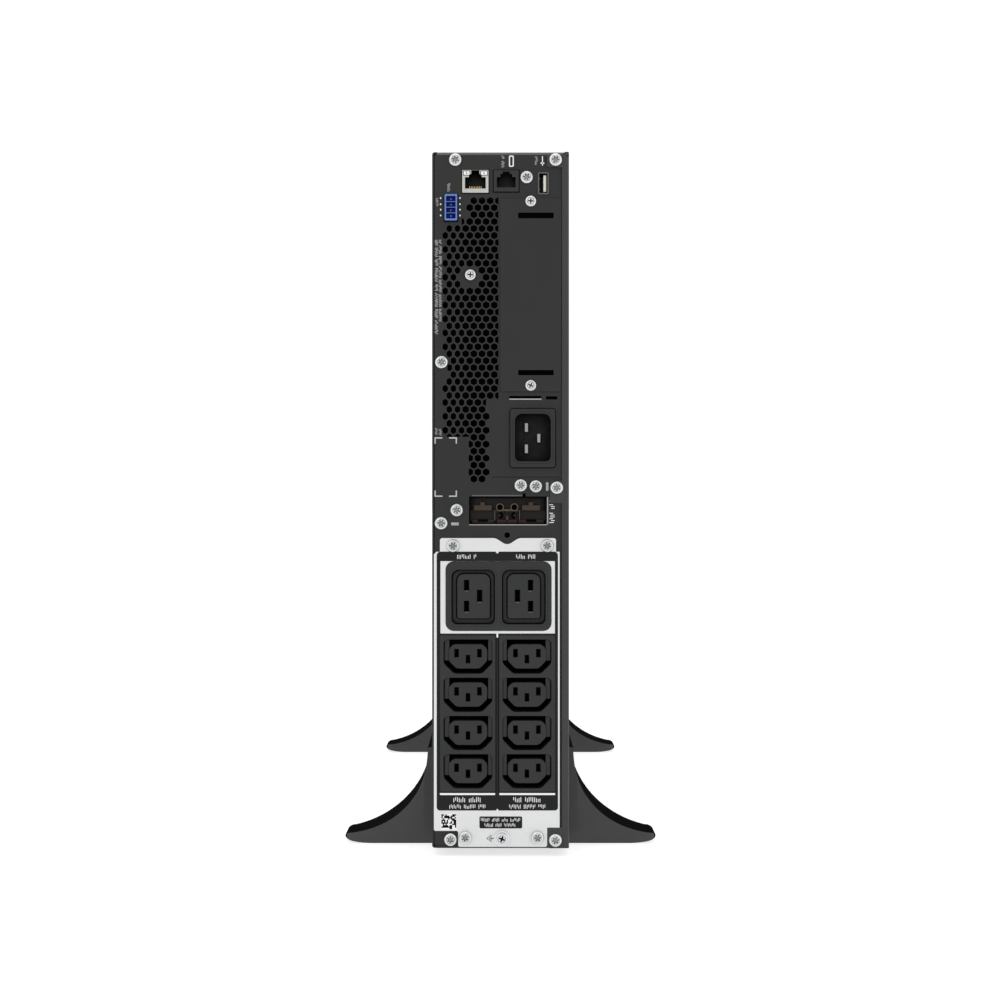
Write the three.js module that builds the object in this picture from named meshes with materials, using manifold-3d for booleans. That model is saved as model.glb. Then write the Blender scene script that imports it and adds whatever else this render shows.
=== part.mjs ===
// Rack and tower uninterruptible power supply, 2U, standing in its tower feet.
// Millimetres, +Z up. The connector panel faces -Y and the front bezel faces +Y.
// The origin is on the floor, under the middle of the bounding box.
import * as THREE from "three";
import { mergeVertices } from "three/addons/utils/BufferGeometryUtils.js";
import Module from "manifold-3d";

const wasm = await Module();
wasm.setup();

// ---------- driving dimensions ----------
const CHASSIS_W = 85; // 2U unit on its side
const CHASSIS_H = 432; // the width of a 19 inch unit, standing up
const OVERALL_DEPTH = 638;
const FOOT_SOLE = 5; // the chassis stands on soles of this thickness
const SHEET = 1.2; // steel sheet
const SEAM = 0.3; // gap between neighbouring pieces

const HALF_W = CHASSIS_W / 2;
const BOTTOM = FOOT_SOLE;
const TOP = BOTTOM + CHASSIS_H;
const FRONT_FACE = OVERALL_DEPTH / 2; // front of the bezel
const REAR_MOST = -OVERALL_DEPTH / 2; // back of the earth screw's head
const REAR = REAR_MOST + 4; // outer face of the rear panel
const BEZEL_DEPTH = 33;
const BEZEL_BACK = FRONT_FACE - BEZEL_DEPTH;
const CHASSIS_FRONT = BEZEL_BACK - 1;
const PLATE_BACK = REAR - SEAM; // inner face of what lies on the rear panel
const PLATE_FACE = PLATE_BACK - 1; // outer face of the cover's flange and the outlet plate
const SHELF_Z = 229; // floor of the electronics compartment, roof of the battery bay
const BULKHEAD_Y = -150; // back wall of the battery bay

// ---------- colours ----------
const paint = (color, roughness, metalness) =>
  new THREE.MeshStandardMaterial({ color, roughness, metalness });
const FINISH = {
  steel: paint(0x343536, 0.55, 0.3),
  zinc: paint(0x9a9c9e, 0.4, 0.9),
  plate: paint(0xe0e1e2, 0.4, 0.2),
  screw: paint(0xd5d8da, 0.25, 1.0),
  outlet: paint(0x3a3b3b, 0.5, 0.0),
  black: paint(0x1c1c1c, 0.5, 0.0),
  foot: paint(0x454545, 0.4, 0.0),
  blue: paint(0x1d3fae, 0.45, 0.0),
  brown: paint(0x2c221c, 0.5, 0.0),
  white: paint(0xe8e8e4, 0.4, 0.0),
  brass: paint(0xc8a850, 0.3, 1.0),
  board: paint(0x1d5a34, 0.5, 0.0),
  lens: paint(0x0b0d10, 0.1, 0.0),
  sleeve: paint(0x2a3138, 0.6, 0.0),
  battery: paint(0x4a4d52, 0.6, 0.0),
};

// ---------- solid helpers ----------
function solidOf(geometry) {
  const bare = geometry.index ? geometry.toNonIndexed() : geometry.clone();
  bare.deleteAttribute("normal");
  bare.deleteAttribute("uv");
  const merged = mergeVertices(bare, 1e-3);
  const corners = merged.index.array;
  const triVerts = [];
  for (let i = 0; i < corners.length; i += 3) {
    const [a, b, c] = corners.slice(i, i + 3);
    if (a !== b && b !== c && c !== a) triVerts.push(a, b, c); // a pole's slivers are left out
  }
  return new wasm.Manifold(
    new wasm.Mesh({
      numProp: 3,
      vertProperties: merged.attributes.position.array,
      triVerts: new Uint32Array(triVerts),
    }),
  );
}

function geometryOf(solid) {
  const { vertProperties, triVerts } = solid.getMesh();
  const geometry = new THREE.BufferGeometry();
  geometry.setAttribute("position", new THREE.BufferAttribute(new Float32Array(vertProperties), 3));
  geometry.setIndex(new THREE.BufferAttribute(new Uint32Array(triVerts), 1));
  geometry.computeVertexNormals();
  return geometry;
}

// Axis-aligned block from its limits along X, Y and Z.
function block([x0, x1], [y0, y1], [z0, z1]) {
  const g = new THREE.BoxGeometry(x1 - x0, y1 - y0, z1 - z0);
  g.translate((x0 + x1) / 2, (y0 + y1) / 2, (z0 + z1) / 2);
  return solidOf(g);
}

const extrude = (shape, depth, curveSegments) =>
  new THREE.ExtrudeGeometry(shape, { depth, bevelEnabled: false, curveSegments });

// A shape drawn in X and Z, extruded from y0 to y1.
function alongY(shape, [y0, y1], curveSegments = 4) {
  const g = extrude(shape, y1 - y0, curveSegments);
  g.rotateX(Math.PI / 2);
  g.translate(0, y1, 0);
  return solidOf(g);
}

// A shape drawn in X and Y, extruded from z0 to z1.
function alongZ(shape, [z0, z1], curveSegments = 4) {
  const g = extrude(shape, z1 - z0, curveSegments);
  g.translate(0, 0, z0);
  return solidOf(g);
}

function polygon(points) {
  return new THREE.Shape(points.map(([u, v]) => new THREE.Vector2(u, v)));
}

function disc(u, v, radius) {
  const s = new THREE.Shape();
  s.absarc(u, v, radius, 0, 2 * Math.PI);
  return s;
}

// Rectangle with a corner radius at its top and another at its bottom.
function rounded([u0, u1], [v0, v1], topRadius, bottomRadius = topRadius) {
  const s = new THREE.Shape();
  const t = topRadius;
  const b = bottomRadius;
  s.moveTo(u0 + b, v0);
  s.lineTo(u1 - b, v0);
  s.absarc(u1 - b, v0 + b, b, -Math.PI / 2, 0);
  s.lineTo(u1, v1 - t);
  s.absarc(u1 - t, v1 - t, t, 0, Math.PI / 2);
  s.lineTo(u0 + t, v1);
  s.absarc(u0 + t, v1 - t, t, Math.PI / 2, Math.PI);
  s.lineTo(u0, v0 + b);
  s.absarc(u0 + b, v0 + b, b, Math.PI, 1.5 * Math.PI);
  return s;
}

const grow = ([a, b], by) => [a - by, b + by];
const around = (centre, size) => [centre - size / 2, centre + size / 2];
const cutAll = (solid, tools) => tools.reduce((left, tool) => left.subtract(tool), solid);
const joinAll = (solids) => solids.reduce((a, b) => a.add(b));

const ups = new THREE.Group();

function add(name, solid, material) {
  const mesh = new THREE.Mesh(geometryOf(solid), material);
  mesh.name = name;
  ups.add(mesh);
}

// ---------- where things sit on the rear panel: X and Z limits ----------
const NETWORK = { x: [-23.8, -7.5], z: [411.6, 425.7] };
const SERIAL = { x: [-4.3, 11.3], z: [412.3, 425.6] };
const USB = { x: [23.5, 29.5], z: [411, 424] };
const EPO = { x: [-34.9, -26.7], z: [394, 410.7] };
const EXPANSION_SLOT = { x: [3, 35], z: [296, 402] }; // behind its blank cover
const SLOT_COVER = { x: [-0.2, 37.6], z: [288.3, 408] };
const CLAMP_SLOTS = [
  { x: [5.4, 25.4], z: [284, 285.2] }, // for the input cord's clamp
  { x: [28.2, 35.2], z: [283.4, 285.2] },
];
const TAB_SLOTS = [
  { x: [28.1, 29.9], z: [226.6, 232.1] }, // tabs of the inner sheets hook in here
  { x: [-30.8, -25.8], z: [205.1, 207.2] },
];
const GUIDE_HOLE = { x: 4.1, z: 199.2, radius: 1.75 };
const INLET = { x: [6, 33.9], z: [241.2, 277.5] };
const DC_PORT = { x: [-19.6, 28.8], z: [205.8, 223.2] };
const PLATE_X = [-41.7, 36.9];
const TOP_TAB_X = [-37.6, 34.4];
const BOTTOM_TAB_X = [-26.5, 28.9];
const PLATE_BOTTOM = 6;
const PLATE_STEP = { left: 16, right: 18 }; // the plate narrows to its bottom tab at these heights
const PLATE_TOP = 197.4;
const NOTCH = { bottom: 193.6, reach: 8.5, shoulder: 3.9, waist: 3.5 };
const CHAMFER = 1.4;
const OVERLAY_TOP = 189;
const C19_BLOCK = { x: [-33.9, 31.4], z: [140, 182.8] };
const C19_CORNER = 5;
const BANK_Z = [40.2, 137.2];
const BANK_X = { group_2: [-37.6, -3.1], group_1: [-0.9, 33.8] };
const C13_TOP_ROW_Z = 126;
const C13_PITCH = 23.7;
const C13_COLUMN_X = { group_2: -20.2, group_1: 16.35 };
const C13_PER_BANK = 4;
const C13_SLOTS = [
  [-7.1, 0],
  [7.1, 0],
  [0, -3.7],
];
const C13_SLOT = { w: 2.8, h: 5.1 };
const OUTLET_DEPTH = 30;
const OUTLET_FACE = PLATE_FACE - 0.5; // outlets stand a little proud of their plate
const EARTH_SCREW = { x: 0.8, z: 11.2, hole: 2.25, head: 4.7 };

// ---------- chassis ----------
const RACK_EAR_Y = [225, 245, 265]; // screw rows of the rack ears
const RACK_EAR_X = [-22, 22];
const RACK_EAR_HOLE = 2.25;

function chassisTray() {
  const y = [REAR, CHASSIS_FRONT];
  const outer = block([-HALF_W, HALF_W - SHEET - SEAM], y, [BOTTOM, TOP]);
  const inner = block([-HALF_W + SHEET, HALF_W], grow(y, 1), [BOTTOM + SHEET, TOP - SHEET]);
  const holes = RACK_EAR_Y.flatMap((holeY) =>
    RACK_EAR_X.map((holeX) => alongZ(disc(holeX, holeY, RACK_EAR_HOLE), [BOTTOM - 1, TOP + 1], 3)),
  );
  return cutAll(outer.subtract(inner), holes);
}

const FLANGE_X = HALF_W - 4.4; // the cover's rear flange laps the rear panel from here outwards
const COVER_TABS = [
  [28.6, [427.4, TOP]],
  [30.6, [219, 233]],
  [29, [BOTTOM, 18]],
];

function sideCover() {
  const wall = block([HALF_W - SHEET, HALF_W], [PLATE_FACE, CHASSIS_FRONT], [BOTTOM, TOP]);
  const flange = block([FLANGE_X, HALF_W], [PLATE_FACE, PLATE_BACK], [BOTTOM, TOP]);
  const tabs = COVER_TABS.map(([x, z]) => block([x, HALF_W], [PLATE_FACE, PLATE_BACK], z));
  return joinAll([wall, flange, ...tabs]);
}

// The vent is a honeycomb. The cells here are twice as wide as a punched sheet's, at a quarter of
// the count, and fill these fields of the panel.
const CELL_PITCH = 10.14;
const CELL_ROW_PITCH = 8.64;
const CELL_RADIUS = 4.8;
const CELL_HALF_WIDTH = CELL_RADIUS * Math.cos(Math.PI / 6);
const VENT_FIRST = { x: -6.5, z: 402 };
const VENT_ROWS = 20;
const VENT_COLUMNS = 3;
const VENT_FIELDS = [
  { z: [384, 408], x: [-22, -1.2] },
  { z: [287, 384], x: [-36, -1.2] },
  { z: [258, 287], x: [-36, -1.2] },
  { z: [231, 258], x: [-21, -1.2] },
];
const VENT_SCREWS = [
  [-18.8, 360.3],
  [-36.8, 306.1],
];
const SCREW_CLEARANCE = 7.8;

function ventCells() {
  const cells = [];
  for (let row = 0; row < VENT_ROWS; row++) {
    const z = VENT_FIRST.z - row * CELL_ROW_PITCH;
    const field = VENT_FIELDS.find((f) => z > f.z[0] && z <= f.z[1]);
    for (let column = 0; column < VENT_COLUMNS; column++) {
      const x = VENT_FIRST.x - (column + (row % 2) / 2) * CELL_PITCH;
      const inside = x - CELL_HALF_WIDTH > field.x[0] && x + CELL_HALF_WIDTH < field.x[1];
      const clear = VENT_SCREWS.every(([sx, sz]) => Math.hypot(x - sx, z - sz) > SCREW_CLEARANCE);
      if (inside && clear) cells.push([x, z]);
    }
  }
  return cells;
}

function hexagon(u, v, radius) {
  const corners = [0, 1, 2, 3, 4, 5].map((i) => {
    const angle = Math.PI / 6 + (i * Math.PI) / 3;
    return [u + radius * Math.cos(angle), v + radius * Math.sin(angle)];
  });
  return polygon(corners);
}

function rearPanel() {
  const x = [-HALF_W + SHEET + SEAM, HALF_W - SHEET - 2 * SEAM];
  const z = [BOTTOM + SHEET + SEAM, TOP - SHEET - SEAM];
  const through = [REAR - 1, REAR + SHEET + 1];
  const cut = (place, by = SEAM) => block(grow(place.x, by), through, grow(place.z, by));
  const windows = [
    cut(NETWORK),
    cut(SERIAL),
    cut(USB),
    cut(EPO),
    cut(DC_PORT, -0.2),
    cut(INLET, -1),
    cut(EXPANSION_SLOT),
    ...CLAMP_SLOTS.map((slot) => cut(slot)),
    ...TAB_SLOTS.map((slot) => cut(slot, 0)),
    cut(C19_BLOCK),
    cut({ x: [BANK_X.group_2[0], BANK_X.group_1[1]], z: BANK_Z }),
    alongY(disc(GUIDE_HOLE.x, GUIDE_HOLE.z, GUIDE_HOLE.radius), through, 3),
    alongY(disc(EARTH_SCREW.x, EARTH_SCREW.z, EARTH_SCREW.hole), through, 3),
    ...ventCells().map(([u, v]) => alongY(hexagon(u, v, CELL_RADIUS), through)),
  ];
  return cutAll(block(x, [REAR, REAR + SHEET], z), windows);
}

const BAY_MOUTH_X = [-39.2, 39.2];
const DISPLAY_WINDOW = { x: [-18, 18], z: [345, 395] };
const INTAKE_WINDOW = { x: [-32, 32], z: [240, 322] };

function frontFrame() {
  const x = [-HALF_W + SHEET + SEAM, HALF_W - SHEET - 2 * SEAM];
  const z = [BOTTOM + SHEET + SEAM, TOP - SHEET - SEAM];
  const y = [CHASSIS_FRONT - SHEET, CHASSIS_FRONT];
  const through = grow(y, 1);
  const windows = [
    block(BAY_MOUTH_X, through, [BOTTOM + SHEET + 2, SHELF_Z - 1]),
    block(DISPLAY_WINDOW.x, through, DISPLAY_WINDOW.z),
    block(INTAKE_WINDOW.x, through, INTAKE_WINDOW.z),
  ];
  return cutAll(block(x, y, z), windows);
}

const BAY_SOCKET = { x: [-15, 15], z: [100, 126] };

function bayDivider() {
  const x = [-HALF_W + SHEET + SEAM, HALF_W - SHEET - 2 * SEAM];
  const shelf = block(x, [BULKHEAD_Y, CHASSIS_FRONT - SHEET - SEAM], [SHELF_Z, SHELF_Z + SHEET]);
  const bulkhead = block(
    x,
    [BULKHEAD_Y - SHEET, BULKHEAD_Y],
    [BOTTOM + SHEET + SEAM, SHELF_Z + SHEET],
  );
  const window = block(grow(BAY_SOCKET.x, SEAM), around(BULKHEAD_Y, 8), grow(BAY_SOCKET.z, SEAM));
  return shelf.add(bulkhead).subtract(window);
}

// ---------- outlet panel ----------
// Bright plate with a screw tab at its top, notched round the guide hole, and one at its bottom.
function outletPlate() {
  const s = new THREE.Shape();
  const [left, right] = PLATE_X;
  const [bottomLeft, bottomRight] = BOTTOM_TAB_X;
  const [topLeft, topRight] = TOP_TAB_X;
  const middle = GUIDE_HOLE.x;
  const { bottom, reach, shoulder, waist } = NOTCH;
  s.moveTo(bottomLeft, PLATE_BOTTOM);
  s.lineTo(bottomRight, PLATE_BOTTOM);
  s.lineTo(bottomRight, PLATE_STEP.right);
  s.lineTo(right, PLATE_STEP.right);
  s.lineTo(right, OVERLAY_TOP);
  s.lineTo(topRight, OVERLAY_TOP);
  s.lineTo(topRight, PLATE_TOP - CHAMFER);
  s.lineTo(topRight - CHAMFER, PLATE_TOP);
  s.lineTo(middle + reach, PLATE_TOP);
  s.bezierCurveTo(middle + shoulder, PLATE_TOP, middle + waist, bottom, middle, bottom);
  s.bezierCurveTo(middle - waist, bottom, middle - shoulder, PLATE_TOP, middle - reach, PLATE_TOP);
  s.lineTo(topLeft + CHAMFER, PLATE_TOP);
  s.lineTo(topLeft, PLATE_TOP - CHAMFER);
  s.lineTo(topLeft, OVERLAY_TOP);
  s.lineTo(left + CHAMFER, OVERLAY_TOP);
  s.lineTo(left, OVERLAY_TOP - CHAMFER);
  s.lineTo(left, PLATE_STEP.left);
  s.lineTo(bottomLeft, PLATE_STEP.left);
  const through = grow([PLATE_FACE, PLATE_BACK], 1);
  const windows = [
    alongY(rounded(grow(C19_BLOCK.x, SEAM), grow(C19_BLOCK.z, SEAM), C19_CORNER), through, 3),
    block(grow(BANK_X.group_2, SEAM), through, grow(BANK_Z, SEAM)),
    block(grow(BANK_X.group_1, SEAM), through, grow(BANK_Z, SEAM)),
    alongY(disc(EARTH_SCREW.x, EARTH_SCREW.z, EARTH_SCREW.hole), through, 3),
  ];
  return cutAll(alongY(s, [PLATE_FACE, PLATE_BACK]), windows);
}

// Outline with chamfered lower corners, as the 10 A outlets and their cores have.
function chamfered(cx, cz, { half, below, above, chamfer, corner }) {
  const bottom = cz - below;
  const top = cz + above;
  return polygon([
    [cx - half + chamfer, bottom],
    [cx + half - chamfer, bottom],
    [cx + half, bottom + chamfer],
    [cx + half, top - corner],
    [cx + half - corner, top],
    [cx - half + corner, top],
    [cx - half, top - corner],
    [cx - half, bottom + chamfer],
  ]);
}

const C13_MOUTH = { half: 15.1, below: 12.1, above: 8.4, chamfer: 6.2, corner: 1 };
const C13_CORE = { half: 12, below: 9.6, above: 6, chamfer: 4.8, corner: 2 };

const RECESS_DEPTH = 14;
const CONTACT_DEPTH = 12;
const OUTLET_BOARD = { x: [-38, 34], y: [REAR + 33, REAR + 34.6], z: [36, 186] };

function outletBank(group) {
  const cx = C13_COLUMN_X[group];
  const body = block(BANK_X[group], [OUTLET_FACE, OUTLET_FACE + OUTLET_DEPTH], BANK_Z);
  const recess = [OUTLET_FACE - 1, OUTLET_FACE + RECESS_DEPTH];
  const contact = [OUTLET_FACE - 1, OUTLET_FACE + CONTACT_DEPTH];
  const cuts = [];
  for (let row = 0; row < C13_PER_BANK; row++) {
    const z = C13_TOP_ROW_Z - row * C13_PITCH;
    const mouth = alongY(chamfered(cx, z, C13_MOUTH), recess);
    const core = alongY(chamfered(cx, z, C13_CORE), recess);
    cuts.push(mouth.subtract(core));
    for (const [slotX, slotZ] of C13_SLOTS) {
      cuts.push(block(around(cx + slotX, C13_SLOT.w), contact, around(z + slotZ, C13_SLOT.h)));
    }
  }
  return cutAll(body, cuts);
}

// Two 16 A outlets in one housing, mirrored so that their earth slots face each other.
const C19_OUTLETS = [
  { recess: [-30.4, -3.5], core: [-27, -6.5], live: -21.1, earth: -13 },
  { recess: [0.9, 27.9], core: [4.3, 24.6], live: 18.6, earth: 10.5 },
];
const C19_RECESS_Z = [143.9, 177.8];
const C19_CORE_Z = [147.4, 175.2];
const C19_LIVE_Z = [
  [164.8, 171.4],
  [151.7, 158.4],
];
const C19_EARTH_Z = [157.8, 165.3];
const C19_SLOT_W = 3.2;
const C19_RECESS_CORNER = 4;
const C19_CORE_CORNER = 1.5; // the lower corners of a core are sharper than its upper ones

function outletPair() {
  const body = alongY(
    rounded(C19_BLOCK.x, C19_BLOCK.z, C19_CORNER),
    [OUTLET_FACE, OUTLET_FACE + OUTLET_DEPTH],
    3,
  );
  const recess = [OUTLET_FACE - 1, OUTLET_FACE + RECESS_DEPTH];
  const contact = [OUTLET_FACE - 1, OUTLET_FACE + CONTACT_DEPTH];
  const cuts = C19_OUTLETS.flatMap((o) => [
    alongY(rounded(o.recess, C19_RECESS_Z, C19_RECESS_CORNER), recess, 2).subtract(
      alongY(rounded(o.core, C19_CORE_Z, C19_RECESS_CORNER, C19_CORE_CORNER), recess, 2),
    ),
    ...C19_LIVE_Z.map((z) => block(around(o.live, C19_SLOT_W), contact, z)),
    block(around(o.earth, C19_SLOT_W), contact, C19_EARTH_Z),
  ]);
  return cutAll(body, cuts);
}

// ---------- mains inlet ----------
const INLET_CAVITY = { x: [8.9, 31.1], z: [245, 274.5] };
const INLET_FLOOR = PLATE_FACE + 19;
const INLET_BACK = PLATE_FACE + 26;
const BLADES = {
  inlet_blade_line: { x: 16.05, z: 266 },
  inlet_blade_neutral: { x: 16.05, z: 252.8 },
  inlet_blade_earth: { x: 23.75, z: 259.4 },
};
const BLADE_W = 1.8;
const BLADE_H = 5.2;
const BLADE_SETBACK = 2; // from the plate's face to the blades' tips
const TERMINAL_LENGTH = 8; // of a blade behind the housing
const FLANGE_CORNER = 1.5;
const FLANGE_LAP = 1.8; // the flange overhangs the body by this much
const FLANGE_PROUD = 0.6;
const CAVITY_CORNERS = [4.5, 3];

function inletHousing() {
  const flangeY = [PLATE_FACE - FLANGE_PROUD, PLATE_BACK];
  const flange = alongY(rounded(INLET.x, INLET.z, FLANGE_CORNER), flangeY, 2);
  const bodyY = [PLATE_BACK - 0.5, INLET_BACK];
  const body = block(grow(INLET.x, -FLANGE_LAP), bodyY, grow(INLET.z, -FLANGE_LAP));
  const cavity = alongY(
    rounded(INLET_CAVITY.x, INLET_CAVITY.z, ...CAVITY_CORNERS),
    [PLATE_FACE - 2, INLET_FLOOR],
    2,
  );
  const depth = grow([INLET_FLOOR, INLET_BACK], 1);
  const seats = Object.values(BLADES).map((b) =>
    block(around(b.x, BLADE_W + 2 * SEAM), depth, around(b.z, BLADE_H + 2 * SEAM)),
  );
  return cutAll(flange.add(body).subtract(cavity), seats);
}

function inletBlade({ x, z }) {
  const y = [PLATE_FACE + BLADE_SETBACK, INLET_BACK + TERMINAL_LENGTH];
  return block(around(x, BLADE_W), y, around(z, BLADE_H));
}

// ---------- communication ports ----------
const COMMS_BOARD = { x: [-25.5, 33], y: [REAR + 2, REAR + 70], z: [409.3, 410.7] };
const JACK = { proud: 1, length: 16, mouthDepth: 12, floor: 2.6 };
const JACK_STEPS = [
  { width: 1, rise: 0 }, // the plug's body
  { width: 0.6, rise: 2 }, // its shoulder
  { width: 0.36, rise: 3.2 }, // its latch
];

// A modular jack: a shell with a stepped mouth for the plug and its latch.
function modularJack(place, mouthWidth, mouthHeight) {
  const cx = (place.x[0] + place.x[1]) / 2;
  const floor = place.z[0] + JACK.floor;
  const deep = [REAR - 2, REAR + JACK.mouthDepth];
  const shell = block(place.x, [REAR - JACK.proud, REAR + JACK.length], place.z);
  const mouths = JACK_STEPS.map(({ width, rise }) =>
    block(around(cx, mouthWidth * width), deep, [floor, floor + mouthHeight + rise]),
  );
  return cutAll(shell, mouths);
}

const USB_WALL = 0.5;
const USB_LENGTH = 14;
const USB_CORNER = 0.6;
const USB_TONGUE = { x: [26.6, 28.4], y: [REAR + 0.5, REAR + 12.7], z: [412.4, 422.6] };

function usbShell() {
  const y = [REAR - 0.8, REAR + USB_LENGTH];
  const inside = [REAR - 2, REAR + USB_LENGTH - 1];
  return alongY(rounded(USB.x, USB.z, USB_CORNER), y, 1).subtract(
    block(grow(USB.x, -USB_WALL), inside, grow(USB.z, -USB_WALL)),
  );
}

const EPO_PITCH = 3.5;
const EPO_POCKET = { x: -30.8, w: 5.4, h: 2.7, depth: 5 };
const EPO_BODY_Y = [REAR - 2.6, REAR + 12];

// Four-way terminal header for the emergency power off circuit.
function epoHeader() {
  const body = block(grow(EPO.x, -0.2), EPO_BODY_Y, grow(EPO.z, -0.2));
  const middle = (EPO.z[0] + EPO.z[1]) / 2;
  const { x, w, h, depth } = EPO_POCKET;
  const pockets = [-1.5, -0.5, 0.5, 1.5].map((i) =>
    block(around(x, w), [REAR - 4, REAR + depth], around(middle + i * EPO_PITCH, h)),
  );
  return cutAll(body, pockets);
}

// External battery socket: two power mouths and two round pilot mouths, set back in the panel.
const DC_FACE = REAR + 5;
const DC_LENGTH = 24;
const DC_POWER_X = [-10.8, 20];
const DC_PILOT_X = [-0.6, 8.2];
const DC_MOUTH = { w: 12, z: [209, 214.6], depth: 14 };
const DC_LEDGE = { w: 10.6, z: [215.4, 218.6], proud: 3 };
const DC_PILOT = { z: 211, radius: 2 };
const DC_TOWER = { z: 217, radius: 2.4 };

function dcSocket() {
  const bodyY = [DC_FACE, DC_FACE + DC_LENGTH];
  const body = block(grow(DC_PORT.x, -0.6), bodyY, grow(DC_PORT.z, -0.6));
  const deep = [DC_FACE - 1, DC_FACE + DC_MOUTH.depth];
  const proud = [DC_FACE - DC_LEDGE.proud, DC_FACE + 1];
  const mouths = DC_POWER_X.map((x) => block(around(x, DC_MOUTH.w), deep, DC_MOUTH.z));
  const ledges = DC_POWER_X.map((x) => block(around(x, DC_LEDGE.w), proud, DC_LEDGE.z));
  const pilots = DC_PILOT_X.map((x) => alongY(disc(x, DC_PILOT.z, DC_PILOT.radius), deep, 3));
  const towers = DC_PILOT_X.map((x) => alongY(disc(x, DC_TOWER.z, DC_TOWER.radius), proud, 4));
  return cutAll(joinAll([body, ...ledges, ...towers]), [...mouths, ...pilots]);
}

const COVER_SLOTS = { x: [10.9, 32.9], z: [[395.7, 399.2], [298.4, 301.6]] };

function slotCover() {
  const y = [PLATE_FACE, PLATE_BACK];
  const slots = COVER_SLOTS.z.map((z) => block(COVER_SLOTS.x, grow(y, 1), z));
  return cutAll(block(SLOT_COVER.x, y, SLOT_COVER.z), slots);
}

// ---------- fasteners ----------
// Pan head with a six-lobe recess on a plain shank, driven in along +Y.
function earthScrew() {
  const seat = PLATE_FACE - SEAM;
  const headHeight = seat - REAR_MOST;
  const shank = EARTH_SCREW.hole - SEAM;
  const shankLength = 8;
  const profile = [
    [0, -headHeight],
    [EARTH_SCREW.head * 0.6, -headHeight],
    [EARTH_SCREW.head * 0.92, -headHeight * 0.6],
    [EARTH_SCREW.head, 0],
    [shank, 0],
    [shank, shankLength],
    [0, shankLength],
  ].map(([r, h]) => new THREE.Vector2(r, h));
  const lobes = [];
  for (let i = 0; i < 12; i++) {
    const radius = (i % 2 ? 0.3 : 0.46) * EARTH_SCREW.head;
    const angle = (i * Math.PI) / 6;
    lobes.push([radius * Math.cos(angle), radius * Math.sin(angle)]);
  }
  const recess = alongY(polygon(lobes), [-headHeight - 1, -headHeight * 0.35]);
  const turned = solidOf(new THREE.LatheGeometry(profile, 16));
  return turned.subtract(recess).translate([EARTH_SCREW.x, seat, EARTH_SCREW.z]);
}

// ---------- front: bezel, display, buttons ----------
const DISPLAY = { x: [-28, 28], z: [335, 405] };
const DISPLAY_FACE = FRONT_FACE - 2.6;
const LENS = { x: [-23, 23], z: [357, 400] };
const LENS_THICKNESS = 1.6;
const BUTTON_Z = 345.5;
const BUTTON_R = 3.6;
const BUTTON_NAMES = ["power_button", "escape_button", "up_button", "down_button", "enter_button"];
const BUTTON_PITCH = 10;
const BUTTON_POCKET = 9;
const buttonX = (index) => (index - 2) * BUTTON_PITCH;

function displayHousing() {
  const body = alongY(rounded(DISPLAY.x, DISPLAY.z, 4), [CHASSIS_FRONT + SEAM, DISPLAY_FACE], 3);
  const seatY = [DISPLAY_FACE - LENS_THICKNESS, DISPLAY_FACE + 1];
  const seat = block(grow(LENS.x, SEAM), seatY, grow(LENS.z, SEAM));
  const pocketY = [DISPLAY_FACE - BUTTON_POCKET, DISPLAY_FACE + 1];
  const pockets = BUTTON_NAMES.map((_, i) =>
    alongY(disc(buttonX(i), BUTTON_Z, BUTTON_R + 0.5), pocketY, 4),
  );
  return cutAll(body, [seat, ...pockets]);
}

const button = (index) =>
  alongY(disc(buttonX(index), BUTTON_Z, BUTTON_R), [DISPLAY_FACE - 6, DISPLAY_FACE + 1.6], 4);

const BEZEL_WALL = 2.5;
const BEZEL_CROWN = 6; // how far the middle of the bezel stands out from its edges
const BEZEL_X = HALF_W - 0.2;
const BEZEL_Z = [BOTTOM + 0.5, TOP - 0.5];
const LOUVRE_X = [-32, 32];
const LOUVRE_FIRST = 30;
const LOUVRE_HEIGHT = 6;
const LOUVRE_PITCH = 17;
const LOUVRE_COUNT = 17;
const LATCH = { x: [-7, 7], y: [292, 303], travel: 2.5 };

// Plan of the bezel, crowned in front, inset by t from its outer surface.
function bezelPlan(t, back) {
  const s = new THREE.Shape();
  const x = BEZEL_X - t;
  const edge = FRONT_FACE - BEZEL_CROWN - t;
  s.moveTo(-x, back);
  s.lineTo(x, back);
  s.lineTo(x, edge - 3);
  s.quadraticCurveTo(x, edge, x - 3, edge + 0.8);
  s.quadraticCurveTo(0, FRONT_FACE - t + BEZEL_CROWN - 0.8, -x + 3, edge + 0.8);
  s.quadraticCurveTo(-x, edge, -x, edge - 3);
  return s;
}

function frontBezel() {
  const shell = alongZ(bezelPlan(0, BEZEL_BACK), BEZEL_Z, 6).subtract(
    alongZ(bezelPlan(BEZEL_WALL, BEZEL_BACK - 1), grow(BEZEL_Z, -BEZEL_WALL), 6),
  );
  const through = [BEZEL_BACK + 8, FRONT_FACE + 2];
  const window = alongY(rounded(grow(DISPLAY.x, 0.6), grow(DISPLAY.z, 0.6), 4.6), through, 3);
  const louvres = [];
  for (let i = 0; i < LOUVRE_COUNT; i++) {
    const z = LOUVRE_FIRST + i * LOUVRE_PITCH;
    louvres.push(block(LOUVRE_X, through, [z, z + LOUVRE_HEIGHT]));
  }
  const latchHoles = block(grow(LATCH.x, 0.4), grow(LATCH.y, 0.4), [BOTTOM - 1, TOP + 1]);
  return cutAll(shell, [window, ...louvres, latchHoles]);
}

const bezelLatch = (z) => block(LATCH.x, LATCH.y, z);

// ---------- battery module ----------
const TRAY = { x: [-38, 38], y: [-136, 246], z: [8.5, 226] };
const BATTERY = { x: 70, y: 90, z: 101 };
const BATTERY_ROWS = 2;
const BATTERY_PER_ROW = 4;
const BATTERY_GAP = 3;
const BATTERY_LID = 6;
const BATTERY_POST = { size: 6, height: 4, x: [-24, 24], inset: 12 };

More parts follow.
